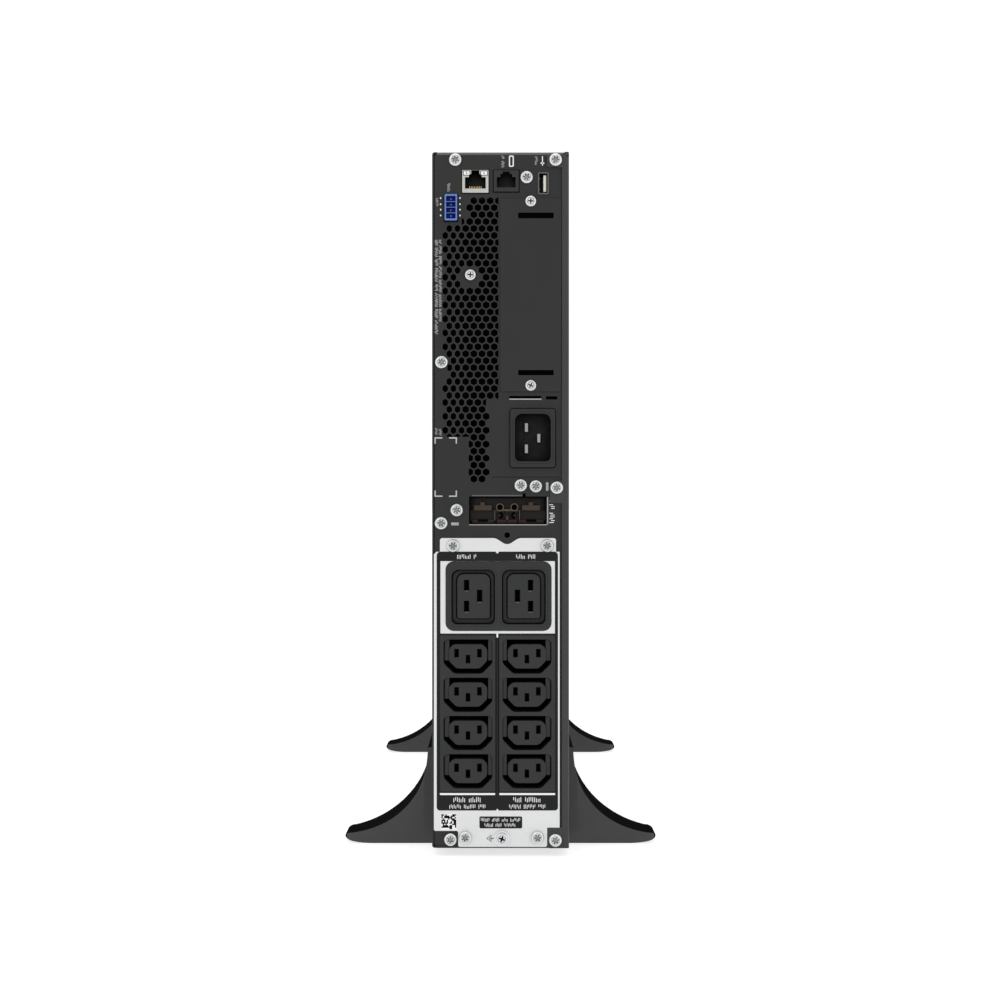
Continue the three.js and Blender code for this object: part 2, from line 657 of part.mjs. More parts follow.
function batteryTray() {
  const insideZ = [TRAY.z[0] + SHEET, TRAY.z[1] + 1];
  const inside = block(grow(TRAY.x, -SHEET), grow(TRAY.y, -SHEET), insideZ);
  return block(TRAY.x, TRAY.y, TRAY.z).subtract(inside);
}

function batteryBlock(row, index) {
  const y0 = TRAY.y[0] + 4 + index * (BATTERY.y + BATTERY_GAP);
  const z0 = TRAY.z[0] + 2 + row * (BATTERY.z + 2);
  const { size, height, x: postX, inset } = BATTERY_POST;
  const lidTop = z0 + BATTERY.z - height;
  const lidBottom = lidTop - BATTERY_LID;
  const y = [y0, y0 + BATTERY.y];
  const body = block(around(0, BATTERY.x), y, [z0, lidBottom]);
  const cap = block(around(0, BATTERY.x - 2), grow(y, -1), [lidBottom, lidTop]);
  const posts = postX.map((x) =>
    block(around(x, size), around(y0 + inset, size), [lidTop - 1, z0 + BATTERY.z]),
  );
  return joinAll([body, cap, ...posts]);
}

const PLUG_BASE = { x: [-14, 14], z: [101, 125], thick: 6 };
const PLUG_NOSE = { x: [-10, 10], z: [105, 121], reach: 24 };
const SOCKET_BACK = -178;
const SOCKET_PLAY = 0.6; // round the plug's nose

// Plug on the back of the tray. Its nose slides into the socket on the bulkhead.
function batteryPlug() {
  const back = TRAY.y[0];
  const base = block(PLUG_BASE.x, [back - PLUG_BASE.thick, back - SEAM], PLUG_BASE.z);
  const noseY = [back - PLUG_NOSE.reach, back - PLUG_BASE.thick + 1];
  return base.add(block(PLUG_NOSE.x, noseY, PLUG_NOSE.z));
}

function baySocket() {
  const body = block(BAY_SOCKET.x, [SOCKET_BACK, TRAY.y[0] - PLUG_BASE.thick - 1], BAY_SOCKET.z);
  const mouthY = [TRAY.y[0] - PLUG_NOSE.reach - 2, 0];
  return body.subtract(
    block(grow(PLUG_NOSE.x, SOCKET_PLAY), mouthY, grow(PLUG_NOSE.z, SOCKET_PLAY)),
  );
}

const HANDLE = { x: [-9, 9], z: [70, 170], reach: 34, grip: 9, arm: 10 };

// Pull handle on the tray's front, with room for four fingers behind its grip.
function batteryHandle() {
  const y = [TRAY.y[1] + SEAM, TRAY.y[1] + HANDLE.reach];
  const room = [y[0] - 1, y[1] - HANDLE.grip];
  const outer = block(HANDLE.x, y, HANDLE.z);
  return outer.subtract(block(grow(HANDLE.x, 1), room, grow(HANDLE.z, -HANDLE.arm)));
}

// ---------- electronics ----------
const ROOM_Z = [SHELF_Z + SHEET + 4, TOP - SHEET - 4];
const BOARD_X = [-37, -35.4];
const BOARD_Y = [-170, 250];
const HEATSINK = { z: [340, 425], base: [-33.5, -27], fins: [-28, 26], count: 8, thick: 3 };
const HEATSINK_Y = { rear: [-25, 85], front: [110, 220] };
const CAPACITOR = { radius: 17.5, length: 50, bead: 2, x: -34, z: 272 };
const CAPACITOR_Y = [10, 60];
const TRANSFORMER = { x: [-33.5, 12], y: [-110, -40], z: [246, 316], yoke: 10 };
const WINDING = { x: [-32, 20], y: [-97, -53], z: [258, 304] };
const BOBBIN = { x: [-20, 0], y: [-100, -50], z: [255, 307] };

function heatsink(y) {
  const [z0, z1] = HEATSINK.z;
  const pitch = (z1 - z0 - HEATSINK.thick) / (HEATSINK.count - 1);
  const blades = [];
  for (let i = 0; i < HEATSINK.count; i++) {
    const z = z0 + i * pitch;
    blades.push(block(HEATSINK.fins, y, [z, z + HEATSINK.thick]));
  }
  return joinAll([block(HEATSINK.base, y, HEATSINK.z), ...blades]);
}

function capacitor(y) {
  const { radius, length, bead, x, z } = CAPACITOR;
  const profile = [
    [0, 0],
    [radius, 0],
    [radius, length - bead],
    [radius - bead, length],
    [0, length],
  ].map(([r, h]) => new THREE.Vector2(r, h));
  const g = new THREE.LatheGeometry(profile, 20);
  g.rotateZ(-Math.PI / 2);
  g.translate(x, y, z);
  return solidOf(g);
}

function transformer() {
  const { x, y, z, yoke } = TRANSFORMER;
  const core = block(x, y, z);
  const opening = block(grow(x, 8), grow(y, -yoke - 4), grow(z, -yoke));
  const winding = block(WINDING.x, WINDING.y, WINDING.z);
  const bobbin = block(BOBBIN.x, BOBBIN.y, BOBBIN.z);
  return core.subtract(opening).add(winding.add(bobbin));
}

// ---------- fans ----------
const FAN_SIZE = 80;
const FAN_Y = [-206, -181];
const FAN_BORE = 38;
const FAN_HUB = 15;
const FAN_BLADES = 7;
const FAN_BLADE_TWIST = 0.95;
const FAN_Z = { lower: 276.5, upper: 362 };

function fanHousing(z) {
  const frame = block(around(0, FAN_SIZE), FAN_Y, around(z, FAN_SIZE));
  const bored = frame.subtract(alongY(disc(0, z, FAN_BORE), grow(FAN_Y, 1), 8));
  const strutY = [FAN_Y[0], FAN_Y[0] + 3];
  const hub = alongY(disc(0, z, FAN_HUB), strutY, 5);
  const struts = [
    block(around(0, FAN_SIZE - 1), strutY, around(z, 4)),
    block(around(0, 4), strutY, around(z, FAN_SIZE - 1)),
  ];
  return joinAll([bored, hub, ...struts]);
}

function fanRotor(z) {
  const hub = alongY(disc(0, 0, FAN_HUB), [FAN_Y[0] + 4, FAN_Y[1] - 1], 5);
  const blades = [];
  const root = FAN_HUB - 2;
  const tip = FAN_BORE - 1.4;
  for (let i = 0; i < FAN_BLADES; i++) {
    const g = new THREE.BoxGeometry(tip - root, 1.6, 20);
    g.rotateX(FAN_BLADE_TWIST);
    g.translate((tip + root) / 2, (FAN_Y[0] + FAN_Y[1]) / 2 + 1.5, 0);
    g.rotateY((i * 2 * Math.PI) / FAN_BLADES);
    blades.push(solidOf(g));
  }
  const swept = alongY(disc(0, 0, FAN_BORE - 1.2), [FAN_Y[0] + 3.6, FAN_Y[1] - 0.8], 8);
  return joinAll([hub, ...blades]).intersect(swept).translate([0, 0, z]);
}

// ---------- tower feet ----------
const FOOT_REACH = 100.2; // from the middle plane to the tip
const FOOT_HEIGHT = 62;
const FOOT_DEPTH = 80; // against the chassis
const FOOT_TIP_DEPTH = 33;
const FOOT_CORNER = 5; // of the tip, seen from above
const FOOT_Y = { rear: REAR + 45, front: REAR + 495 };

// Section of one foot: a sole under the chassis, and a fin that sweeps up its side.
function footSection() {
  const s = new THREE.Shape();
  const side = HALF_W + SEAM;
  const middle = SEAM + 0.1; // the soles of a pair meet here
  const shoulder = FOOT_REACH - 5.2; // the sweep ends and the round tip begins
  s.moveTo(middle, 0);
  s.lineTo(FOOT_REACH - 18, 0);
  s.quadraticCurveTo(FOOT_REACH, 0.2, FOOT_REACH, 3.2);
  s.quadraticCurveTo(FOOT_REACH, 5, shoulder, 5.9);
  s.bezierCurveTo(66, 11.5, 47, 33, 46, FOOT_HEIGHT - 0.6);
  s.lineTo(45.4, FOOT_HEIGHT);
  s.lineTo(side, FOOT_HEIGHT);
  s.lineTo(side, FOOT_SOLE - SEAM);
  s.lineTo(middle, FOOT_SOLE - SEAM);
  return s;
}

// Seen from above a foot is square at the back and narrows from its front towards the tip.
function footPlan(back) {
  const s = new THREE.Shape();
  const tip = back + FOOT_TIP_DEPTH;
  s.moveTo(0, back);
  s.lineTo(FOOT_REACH - FOOT_CORNER, back);
  s.quadraticCurveTo(FOOT_REACH, back, FOOT_REACH, back + FOOT_CORNER);
  s.lineTo(FOOT_REACH, tip - FOOT_CORNER);
  s.quadraticCurveTo(FOOT_REACH, tip, FOOT_REACH - FOOT_CORNER, tip);
  s.quadraticCurveTo(76, back + 44, 46, back + FOOT_DEPTH);
  s.lineTo(0, back + FOOT_DEPTH);
  return s;
}

function foot(side, back) {
  const fin = alongY(footSection(), [back, back + FOOT_DEPTH], 10);
  const shaped = fin.intersect(alongZ(footPlan(back), [-1, FOOT_HEIGHT + 1], 6));
  return side > 0 ? shaped : shaped.mirror([1, 0, 0]);
}

// ---------- assembly ----------
add("chassis_tray", chassisTray(), FINISH.steel);
add("side_cover", sideCover(), FINISH.steel);
add("rear_panel", rearPanel(), FINISH.steel);
add("front_frame", frontFrame(), FINISH.zinc);
add("bay_divider", bayDivider(), FINISH.zinc);

add("outlet_plate", outletPlate(), FINISH.plate);
add("outlet_bank_group_1", outletBank("group_1"), FINISH.outlet);
add("outlet_bank_group_2", outletBank("group_2"), FINISH.outlet);
add("outlet_pair_16a", outletPair(), FINISH.outlet);
add("outlet_board", block(OUTLET_BOARD.x, OUTLET_BOARD.y, OUTLET_BOARD.z), FINISH.board);

add("inlet_housing", inletHousing(), FINISH.black);
for (const [name, place] of Object.entries(BLADES)) add(name, inletBlade(place), FINISH.screw);

add("network_jack", modularJack(NETWORK, 12, 7), FINISH.screw);
add("serial_jack", modularJack(SERIAL, 11.6, 6.4), FINISH.black);
add("usb_shell", usbShell(), FINISH.screw);
add("usb_tongue", block(USB_TONGUE.x, USB_TONGUE.y, USB_TONGUE.z), FINISH.white);
add("epo_header", epoHeader(), FINISH.blue);
add("comms_board", block(COMMS_BOARD.x, COMMS_BOARD.y, COMMS_BOARD.z), FINISH.board);
add("dc_socket", dcSocket(), FINISH.brown);
add("expansion_slot_cover", slotCover(), FINISH.steel);

add("earth_screw", earthScrew(), FINISH.screw);

add("front_bezel", frontBezel(), FINISH.black);
add("bezel_latch_upper", bezelLatch([TOP - 5.5, TOP - 0.1]), FINISH.black);
add("bezel_latch_lower", bezelLatch([BOTTOM + 0.1, BOTTOM + 5.5]), FINISH.black);
add("display_housing", displayHousing(), FINISH.black);
add(
  "display_lens",
  block(LENS.x, [DISPLAY_FACE - LENS_THICKNESS + SEAM, DISPLAY_FACE + SEAM], LENS.z),
  FINISH.lens,
);
BUTTON_NAMES.forEach((name, i) => add(name, button(i), FINISH.outlet));

add("battery_tray", batteryTray(), FINISH.zinc);
for (let row = 0; row < BATTERY_ROWS; row++) {
  for (let index = 0; index < BATTERY_PER_ROW; index++) {
    const number = row * BATTERY_PER_ROW + index + 1;
    add(`battery_block_${number}`, batteryBlock(row, index), FINISH.battery);
  }
}
add("battery_plug", batteryPlug(), FINISH.black);
add("bay_socket", baySocket(), FINISH.black);
add("battery_handle", batteryHandle(), FINISH.black);

add("main_board", block(BOARD_X, BOARD_Y, ROOM_Z), FINISH.board);
for (const [where, y] of Object.entries(HEATSINK_Y)) {
  add(`heatsink_${where}`, heatsink(y), FINISH.zinc);
}
CAPACITOR_Y.forEach((y, i) => add(`bus_capacitor_${i + 1}`, capacitor(y), FINISH.sleeve));
add("power_transformer", transformer(), FINISH.sleeve);

for (const [where, z] of Object.entries(FAN_Z)) {
  add(`fan_housing_${where}`, fanHousing(z), FINISH.black);
  add(`fan_rotor_${where}`, fanRotor(z), FINISH.black);
}

for (const [end, y] of Object.entries(FOOT_Y)) {
  add(`foot_${end}_left`, foot(-1, y), FINISH.foot);
  add(`foot_${end}_right`, foot(1, y), FINISH.foot);
}

export default ups;
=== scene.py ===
"""Looks of a 2U uninterruptible power supply in its tower feet, seen from its connector panel."""

import math
import random

import bmesh
import bpy
from mathutils import Matrix, Vector


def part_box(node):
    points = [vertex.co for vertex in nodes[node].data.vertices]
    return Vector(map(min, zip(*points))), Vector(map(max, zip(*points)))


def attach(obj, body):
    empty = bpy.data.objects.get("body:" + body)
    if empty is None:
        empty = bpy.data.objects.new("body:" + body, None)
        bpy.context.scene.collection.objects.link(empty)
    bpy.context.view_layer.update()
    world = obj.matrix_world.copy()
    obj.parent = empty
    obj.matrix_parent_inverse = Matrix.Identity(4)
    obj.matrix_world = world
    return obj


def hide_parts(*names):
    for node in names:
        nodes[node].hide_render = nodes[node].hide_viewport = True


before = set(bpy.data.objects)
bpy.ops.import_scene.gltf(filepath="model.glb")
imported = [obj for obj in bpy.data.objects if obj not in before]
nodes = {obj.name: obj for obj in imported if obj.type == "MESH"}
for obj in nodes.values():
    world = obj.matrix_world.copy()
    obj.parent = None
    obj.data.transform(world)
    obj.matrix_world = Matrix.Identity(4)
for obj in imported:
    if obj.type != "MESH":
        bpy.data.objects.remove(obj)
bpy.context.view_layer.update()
MM = 0.001


# ---------- places on the frame, in millimetres ----------
def limits(node):
    """(x0, x1), (y0, y1), (z0, z1) of a CAD node, in millimetres."""
    low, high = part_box(node)
    return [(a / MM, b / MM) for a, b in zip(low, high)]


PANEL_X, (REAR, PANEL_INNER), PANEL_Z = limits("rear_panel")
PLATE_X, (PLATE_FACE, PLATE_BACK), _ = limits("outlet_plate")
TRAY_X, (_, CHASSIS_FRONT), (BOTTOM, TOP) = limits("chassis_tray")
COVER_X, COVER_Y, COVER_Z = limits("side_cover")
SKIN = 0.06  # how far print stands off the surface that it is on
INK = 0.04  # its thickness
SHEET = 1.2
TRAY_BEND = 1.7  # outer radius of the tray's folds


# ---------- outlines, as lists of (across, up) points ----------
def mid(pair):
    return sum(pair) / 2


def grown(pair, by):
    return (pair[0] - by, pair[1] + by)


def shifted(pair, by):
    return (pair[0] + by, pair[1] + by)


def around(centre, size):
    return (centre - size / 2, centre + size / 2)


def box_ring(x, z, by=0.0):
    """Rectangle, grown by a margin."""
    (x0, x1), (z0, z1) = grown(x, by), grown(z, by)
    return [(x0, z0), (x1, z0), (x1, z1), (x0, z1)]


def spot(cx, cz, radius, degrees, rise=None):
    """A point on a circle, or on an ellipse with another radius upwards."""
    angle = math.radians(degrees)
    return cx + radius * math.cos(angle), cz + (radius if rise is None else rise) * math.sin(angle)


def arc(cx, cz, radius, start, end, steps, rise=None):
    return [spot(cx, cz, radius, start + (end - start) * i / steps, rise) for i in range(steps + 1)]


def circle(cx, cz, radius, steps=32):
    return arc(cx, cz, radius, 0, 360, steps)[:-1]


def rounded(x, z, top, bottom=None, steps=6, by=0.0):
    """Rectangle, grown by a margin, with one radius at its top corners and one at its bottom corners."""
    low = top if bottom is None else bottom
    (x0, x1), (z0, z1) = grown(x, by), grown(z, by)
    return (
        arc(x1 - low, z0 + low, low, -90, 0, steps)
        + arc(x1 - top, z1 - top, top, 0, 90, steps)
        + arc(x0 + top, z1 - top, top, 90, 180, steps)
        + arc(x0 + low, z0 + low, low, 180, 270, steps)
    )


def softened(points, radius, steps=4):
    """The same polygon with its corners rounded."""
    ring = []
    count = len(points)
    for i, corner in enumerate(points):
        here = Vector(corner)
        before = Vector(points[i - 1]) - here
        after = Vector(points[(i + 1) % count]) - here
        reach = min(radius, before.length * 0.45, after.length * 0.45)
        start = here + before.normalized() * reach
        end = here + after.normalized() * reach
        for k in range(steps + 1):
            t = k / steps
            ring.append(tuple(start * (1 - t) ** 2 + here * 2 * t * (1 - t) + end * t**2))
    return ring


def window(node, by=0.0):
    """A CAD node's rectangle on the panel, grown by a margin."""
    x, _, z = limits(node)
    return box_ring(x, z, by)


def wound(ring, anticlockwise):
    area = sum(a[0] * b[1] - b[0] * a[1] for a, b in zip(ring, ring[1:] + ring[:1]))
    return ring if (area > 0) == anticlockwise else ring[::-1]


# ---------- meshes ----------
# Each of these maps a drawing's (across, up, towards the viewer) to the frame's axes.
FROM_REAR = Matrix(((1, 0, 0, 0), (0, 0, -1, 0), (0, 1, 0, 0), (0, 0, 0, 1)))
FROM_FRONT = Matrix(((-1, 0, 0, 0), (0, 0, 1, 0), (0, 1, 0, 0), (0, 0, 0, 1)))
FROM_RIGHT = Matrix(((0, 0, 1, 0), (1, 0, 0, 0), (0, 1, 0, 0), (0, 0, 0, 1)))
FROM_LEFT = Matrix(((0, 0, -1, 0), (-1, 0, 0, 0), (0, 1, 0, 0), (0, 0, 0, 1)))
FROM_TOP = Matrix.Identity(4)


def slab(ring, near, far, holes=(), edge=0.0, side=FROM_REAR, steps=2):
    """A flat outline with holes, between two heights on the side's outward axis, with eased edges."""
    curve = bpy.data.curves.new("outline", "CURVE")
    curve.dimensions = "2D"
    curve.fill_mode = "BOTH"
    curve.extrude = (abs(near - far) / 2 - edge) * MM
    curve.bevel_depth = edge * MM
    curve.offset = -edge * MM
    curve.bevel_resolution = steps - 1
    for points in [wound(ring, True)] + [wound(hole, False) for hole in holes]:
        spline = curve.splines.new("POLY")
        spline.points.add(len(points) - 1)
        for point, (across, up) in zip(spline.points, points):
            point.co = (across * MM, up * MM, 0, 1)
        spline.use_cyclic_u = True
    holder = bpy.data.objects.new("outline", curve)
    mesh = bpy.data.meshes.new_from_object(holder)
    bpy.data.objects.remove(holder)
    bpy.data.curves.remove(curve)
    mesh.transform(side @ Matrix.Translation((0, 0, (near + far) / 2 * MM)))
    return mesh


def rear(material, ring, y0, y1, holes=(), edge=0.0, steps=2):
    """A part of a piece: a slab between two Y values, drawn as seen from the rear, and its material."""
    return slab(ring, -y0, -y1, holes, edge, FROM_REAR, steps), material


def front(material, ring, y0, y1, holes=(), edge=0.0, steps=2):
    """The same on the front, where X runs to the left. The drawing itself is made in X."""
    mirrored, *gaps = ([(-x, z) for x, z in outline] for outline in (ring, *holes))
    return slab(mirrored, y0, y1, gaps, edge, FROM_FRONT, steps), material


def mesh_of(bm, name):
    mesh = bpy.data.meshes.new(name)
    bm.to_mesh(mesh)
    bm.free()
    return mesh


def turned(profile, steps=32, side=FROM_REAR, centre=(0, 0)):
    """A turned surface. The profile is (radius, height) points from the outside in to the axis."""
    bm = bmesh.new()
    rings = []
    for radius, height in profile:
        if radius < 1e-6:
            rings.append([bm.verts.new((0, 0, height * MM))] * steps)
        else:
            ring = circle(0, 0, radius, steps)
            rings.append([bm.verts.new((x * MM, z * MM, height * MM)) for x, z in ring])
    for lower, upper in zip(rings, rings[1:]):
        for i in range(steps):
            j = (i + 1) % steps
            corners = list(dict.fromkeys((lower[i], lower[j], upper[j], upper[i])))
            if len(corners) > 2:
                bm.faces.new(corners)
    bm.normal_update()
    mesh = mesh_of(bm, "turned")
    mesh.transform(side @ Matrix.Translation((centre[0] * MM, centre[1] * MM, 0)))
    return mesh


def lofted(rings):
    """A closed skin over rings of equal length, each a list of (x, y, z) in millimetres."""
    bm = bmesh.new()
    layers = [[bm.verts.new(Vector(p) * MM) for p in ring] for ring in rings]
    for a, b in zip(layers, layers[1:]):
        for i in range(len(a)):
            j = (i + 1) % len(a)
            bm.faces.new((a[i], a[j], b[j], b[i]))
    bm.faces.new(layers[0][::-1])
    bm.faces.new(layers[-1])
    bmesh.ops.recalc_face_normals(bm, faces=bm.faces)
    return mesh_of(bm, "lofted")


def block(material, x, y, z, edge):
    """A part of a piece: a block with eased edges, and its material."""
    bm = bmesh.new()
    bmesh.ops.create_cube(bm, size=1)
    centre = Vector((sum(x), sum(y), sum(z))) / 2 * MM
    size = Vector((x[1] - x[0], y[1] - y[0], z[1] - z[0])) * MM
    place = Matrix.Translation(centre) @ Matrix.Diagonal((*size, 1))
    bmesh.ops.transform(bm, matrix=place, verts=bm.verts)
    bmesh.ops.bevel(bm, geom=bm.edges, offset=edge * MM, segments=2, affect="EDGES", profile=0.5)
    return mesh_of(bm, "block"), material


WELD = 1e-7
SMOOTH_ANGLE = math.radians(32)


def piece(name, parts, body="chassis", replaces=()):
    """One visible piece from (mesh, material) pairs, riding on a body."""
    bm = bmesh.new()
    materials = []
    for mesh, material in parts:
        if material not in materials:
            materials.append(material)
        first = len(bm.faces)
        bm.from_mesh(mesh)
        bm.faces.ensure_lookup_table()
        for face in bm.faces[first:]:
            face.material_index = materials.index(material)
    bmesh.ops.remove_doubles(bm, verts=bm.verts, dist=WELD)
    result = mesh_of(bm, name)
    for material in materials:
        result.materials.append(material)
    result.polygons.foreach_set("use_smooth", [True] * len(result.polygons))
    result.set_sharp_from_angle(angle=SMOOTH_ANGLE)
    obj = bpy.data.objects.new(name, result)
    bpy.context.scene.collection.objects.link(obj)
    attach(obj, body)
    if replaces:
        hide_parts(*replaces)
    return obj


# ---------- materials ----------
class Nodes:
    """A material's node tree, with short calls for the nodes that the finishes share."""

    def __init__(self, name):
        self.material = bpy.data.materials.new(name)
        self.material.use_nodes = True
        self.tree = self.material.node_tree
        self.shader = self.tree.nodes["Principled BSDF"]
        self.place = self.tree.nodes.new("ShaderNodeTexCoord").outputs["Object"]

    def add(self, kind, **values):
        """A node whose inputs and settings are given by name, with _ for a space."""
        made = self.tree.nodes.new(kind)
        for key, value in values.items():
            socket = key.replace("_", " ")
            if isinstance(value, bpy.types.NodeSocket):
                self.tree.links.new(value, made.inputs[socket])
            elif socket in made.inputs:
                made.inputs[socket].default_value = value
            else:
                setattr(made, key, value)
        return made

    def noise(self, scale, detail=3.0, roughness=0.55, stretch=None):
        place = self.place
        if stretch:
            place = self.add("ShaderNodeMapping", Vector=place, Scale=stretch).outputs["Vector"]
        made = self.add("ShaderNodeTexNoise", Vector=place, Scale=scale, Detail=detail, Roughness=roughness)
        return made.outputs["Fac"]

    def ramp(self, factor, low, high, dark, light):
        """A value spread from dark to light as the factor goes from low to high."""
        span = {"From_Min": low, "From_Max": high, "To_Min": dark, "To_Max": light}
        return self.add("ShaderNodeMapRange", Value=factor, **span).outputs["Result"]

    def mix(self, factor, a, b):
        made = self.add("ShaderNodeMix", data_type="RGBA")
        self.tree.links.new(factor, made.inputs["Factor"])
        for socket, value in ((made.inputs[6], a), (made.inputs[7], b)):
            if isinstance(value, bpy.types.NodeSocket):
                self.tree.links.new(value, socket)
            else:
                socket.default_value = (*value, 1)
        return made.outputs[2]

    def worked(self, kind, operation, *factors):
        """The value that a maths node makes of two outputs."""
        made = self.add(kind, operation=operation)
        for output, socket in zip(factors, made.inputs):
            self.tree.links.new(output, socket)
        return made.outputs["Value"]

    def link(self, output, socket):
        self.tree.links.new(output, self.shader.inputs[socket])

    def hold(self, **values):
        """Constants on the shader's own sockets."""
        for key, value in values.items():
            self.shader.inputs[key.replace("_", " ")].default_value = value

    def bump(self, height, strength, distance):
        made = self.add("ShaderNodeBump", Height=height, Strength=strength, Distance=distance)
        self.link(made.outputs["Normal"], "Normal")


def shade(colour, factor):
    return tuple(min(1.0, c * factor) for c in colour)


def finish(name, colour, roughness, metallic=0.0, grain=1500, depth=0.00001, mottle=0.12, spread=0.08,
           stretch=None, coat=0.0, specular=0.5):
    """A finish with a fine grain, a slow change of tone, and roughness that wanders."""
    made = Nodes(name)
    tone = made.ramp(made.noise(14, 4), 0.3, 0.7, 0, 1)
    fine = made.noise(grain, 2, 0.6, stretch)
    slow = made.mix(tone, shade(colour, 1 - mottle), shade(colour, 1 + mottle))
    speck = made.ramp(fine, 0.35, 0.75, 0, 0.35)
    made.link(made.mix(speck, slow, shade(colour, 1 + 2.5 * mottle)), "Base Color")
    smear = made.noise(45, 5, 0.65, stretch)
    made.link(made.ramp(smear, 0.3, 0.7, roughness - spread, roughness + spread), "Roughness")
    made.hold(Metallic=metallic, Coat_Weight=coat, Specular_IOR_Level=specular)
    made.bump(fine, 0.6, depth)
    return made.material


def powder_coat(name, colour, roughness):
    """Baked powder paint: an orange-peel skin, fine pits, dust in the tone, and edges paler in patches,
    partly wear and partly painted highlight.
    """
    made = Nodes(name)
    peel = made.noise(900, 2, 0.5)
    pits = made.noise(4200, 2, 0.7)
    dust = made.ramp(made.noise(9, 6, 0.6), 0.35, 0.7, 0, 1)
    paint = made.mix(dust, shade(colour, 0.93), shade(colour, 1.1))
    flecks = made.ramp(pits, 0.62, 0.8, 0, 0.5)
    paint = made.mix(flecks, paint, shade(colour, 1.7))
    # Edges go paler in patches: partly wear, partly a painted highlight along every edge
    eased = made.add("ShaderNodeBevel", samples=4, Radius=0.0006).outputs["Normal"]
    plain = made.add("ShaderNodeNewGeometry").outputs["Normal"]
    facing = made.worked("ShaderNodeVectorMath", "DOT_PRODUCT", eased, plain)
    edge = made.ramp(facing, 0.98, 0.8, 0, 1)
    patches = made.ramp(made.noise(260, 4, 0.7), 0.4, 0.62, 0.12, 0.6)
    wear_and_highlight = made.worked("ShaderNodeMath", "MULTIPLY", edge, patches)
    made.link(made.mix(wear_and_highlight, paint, shade(colour, 3.0)), "Base Color")
    made.link(made.ramp(made.noise(60, 4), 0.3, 0.7, roughness - 0.06, roughness + 0.06), "Roughness")
    made.hold(Specular_IOR_Level=0.3)
    made.bump(made.worked("ShaderNodeMath", "ADD", peel, made.ramp(pits, 0, 1, 0, 0.35)), 0.5, 0.00004)
    return made.material


# Sheet metal
PAINT = powder_coat("dark_powder_coat", (0.0125, 0.0127, 0.013), 0.5)
# The cover's paint is paler than the panel's: a painted sheen, for the light that its flange catches
COVER_SHEEN_PAINT = powder_coat("cover_painted_sheen_coat", (0.029, 0.0292, 0.030), 0.48)
# Paler paint for the folds: a painted highlight where the bends catch the light
BEND_HIGHLIGHT_PAINT = powder_coat("bend_painted_highlight_coat", (0.085, 0.085, 0.087), 0.42)
PLATE = finish("satin_plate", (0.62, 0.625, 0.625), 0.4, 0.1, grain=700, mottle=0.03, stretch=(0.15, 1, 1))
ZINC = finish("zinc_sheet", (0.42, 0.43, 0.44), 0.42, 0.9, grain=260)
TAB_ZINC = finish("zinc_tab", (0.34, 0.35, 0.34), 0.5, 0.2, grain=260, mottle=0.2)
BARE_EDGE = finish("bare_sheet_edge", (0.30, 0.285, 0.27), 0.5, 0.1, grain=900, mottle=0.2)
SCREW = finish("bright_zinc", (0.65, 0.665, 0.67), 0.3, 1.0, grain=3000, mottle=0.06)
SCREW_DARK = finish("recess_shade", (0.045, 0.048, 0.05), 0.5, 0.6, grain=3000)
RECESS = finish("recess_floor", (0.26, 0.27, 0.28), 0.5, 0.5, grain=3000)
# Mouldings and print on the panel
OUTLET = finish("outlet_moulding", (0.016, 0.0165, 0.017), 0.5, grain=2600, depth=0.00002, specular=0.3)
BLACK = finish("black_moulding", (0.006, 0.006, 0.0065), 0.5, grain=2200, depth=0.00003, specular=0.25)
INLET = finish("inlet_moulding", (0.015, 0.015, 0.0155), 0.5, grain=2200, depth=0.00003, specular=0.28)
FILTER = finish("vent_filter_foam", (0.002, 0.002, 0.002), 0.9, grain=700, depth=0.0002, specular=0.0)
DEEP = finish("deep_black", (0.001, 0.001, 0.001), 0.8, grain=1800, depth=0.00003, specular=0.05)
OVERLAY = finish("printed_overlay", (0.0045, 0.0047, 0.005), 0.45, grain=3500, mottle=0.06, specular=0.2)
PRINT = finish("white_print", (0.74, 0.74, 0.73), 0.5, grain=4000, mottle=0.04)
THIN_PRINT = finish("thin_print", (0.42, 0.42, 0.41), 0.5, grain=4000, mottle=0.04)
FOOT = finish("foot_moulding", (0.036, 0.036, 0.037), 0.5, grain=1400, depth=0.00005, specular=0.35)
# Near black with no sheen for the feet's upper faces: painted shade
FOOT_TOP_SHADE = finish("foot_top_painted_shade", (0.0065, 0.0065, 0.007), 0.6, grain=2600, specular=0.0)
BLUE_DEEP = finish("blue_pocket", (0.002, 0.008, 0.12), 0.6, grain=2200, specular=0.1)
BLUE_RIM = finish("blue_rim", (0.085, 0.16, 0.40), 0.4, grain=2200)
BROWN = finish("brown_moulding", (0.005, 0.003, 0.002), 0.5, grain=2200, depth=0.00002, specular=0.2)
LEDGE = finish("brown_ledge", (0.036, 0.023, 0.013), 0.5, grain=2200, depth=0.00002, specular=0.25)
RING = finish("brown_ring", (0.075, 0.053, 0.031), 0.45, grain=2200, specular=0.3)
PLUM = finish("brown_sill", (0.022, 0.010, 0.009), 0.5, grain=2200, specular=0.2)
TIN = finish("tin_plated", (0.47, 0.47, 0.44), 0.32, 1.0, grain=900)
NICKEL = finish("nickel_shell", (0.15, 0.15, 0.145), 0.32, 1.0, grain=900)
OLD_BRASS = finish("dull_brass", (0.032, 0.022, 0.011), 0.5, 0.6, grain=2500)
BLADE = finish("nickel_blade", (0.27, 0.27, 0.265), 0.4, 0.9, grain=1200, mottle=0.1)
GOLD = finish("gold_contact", (0.70, 0.48, 0.20), 0.25, 1.0, grain=2500)
CREAM = finish("cream_moulding", (0.62, 0.60, 0.52), 0.45, grain=2500)
SLOT_LIP = finish("slot_lip", (0.10, 0.10, 0.10), 0.5, grain=2500)
LED = finish("led_window", (0.72, 0.72, 0.69), 0.25, grain=2500, coat=0.3)
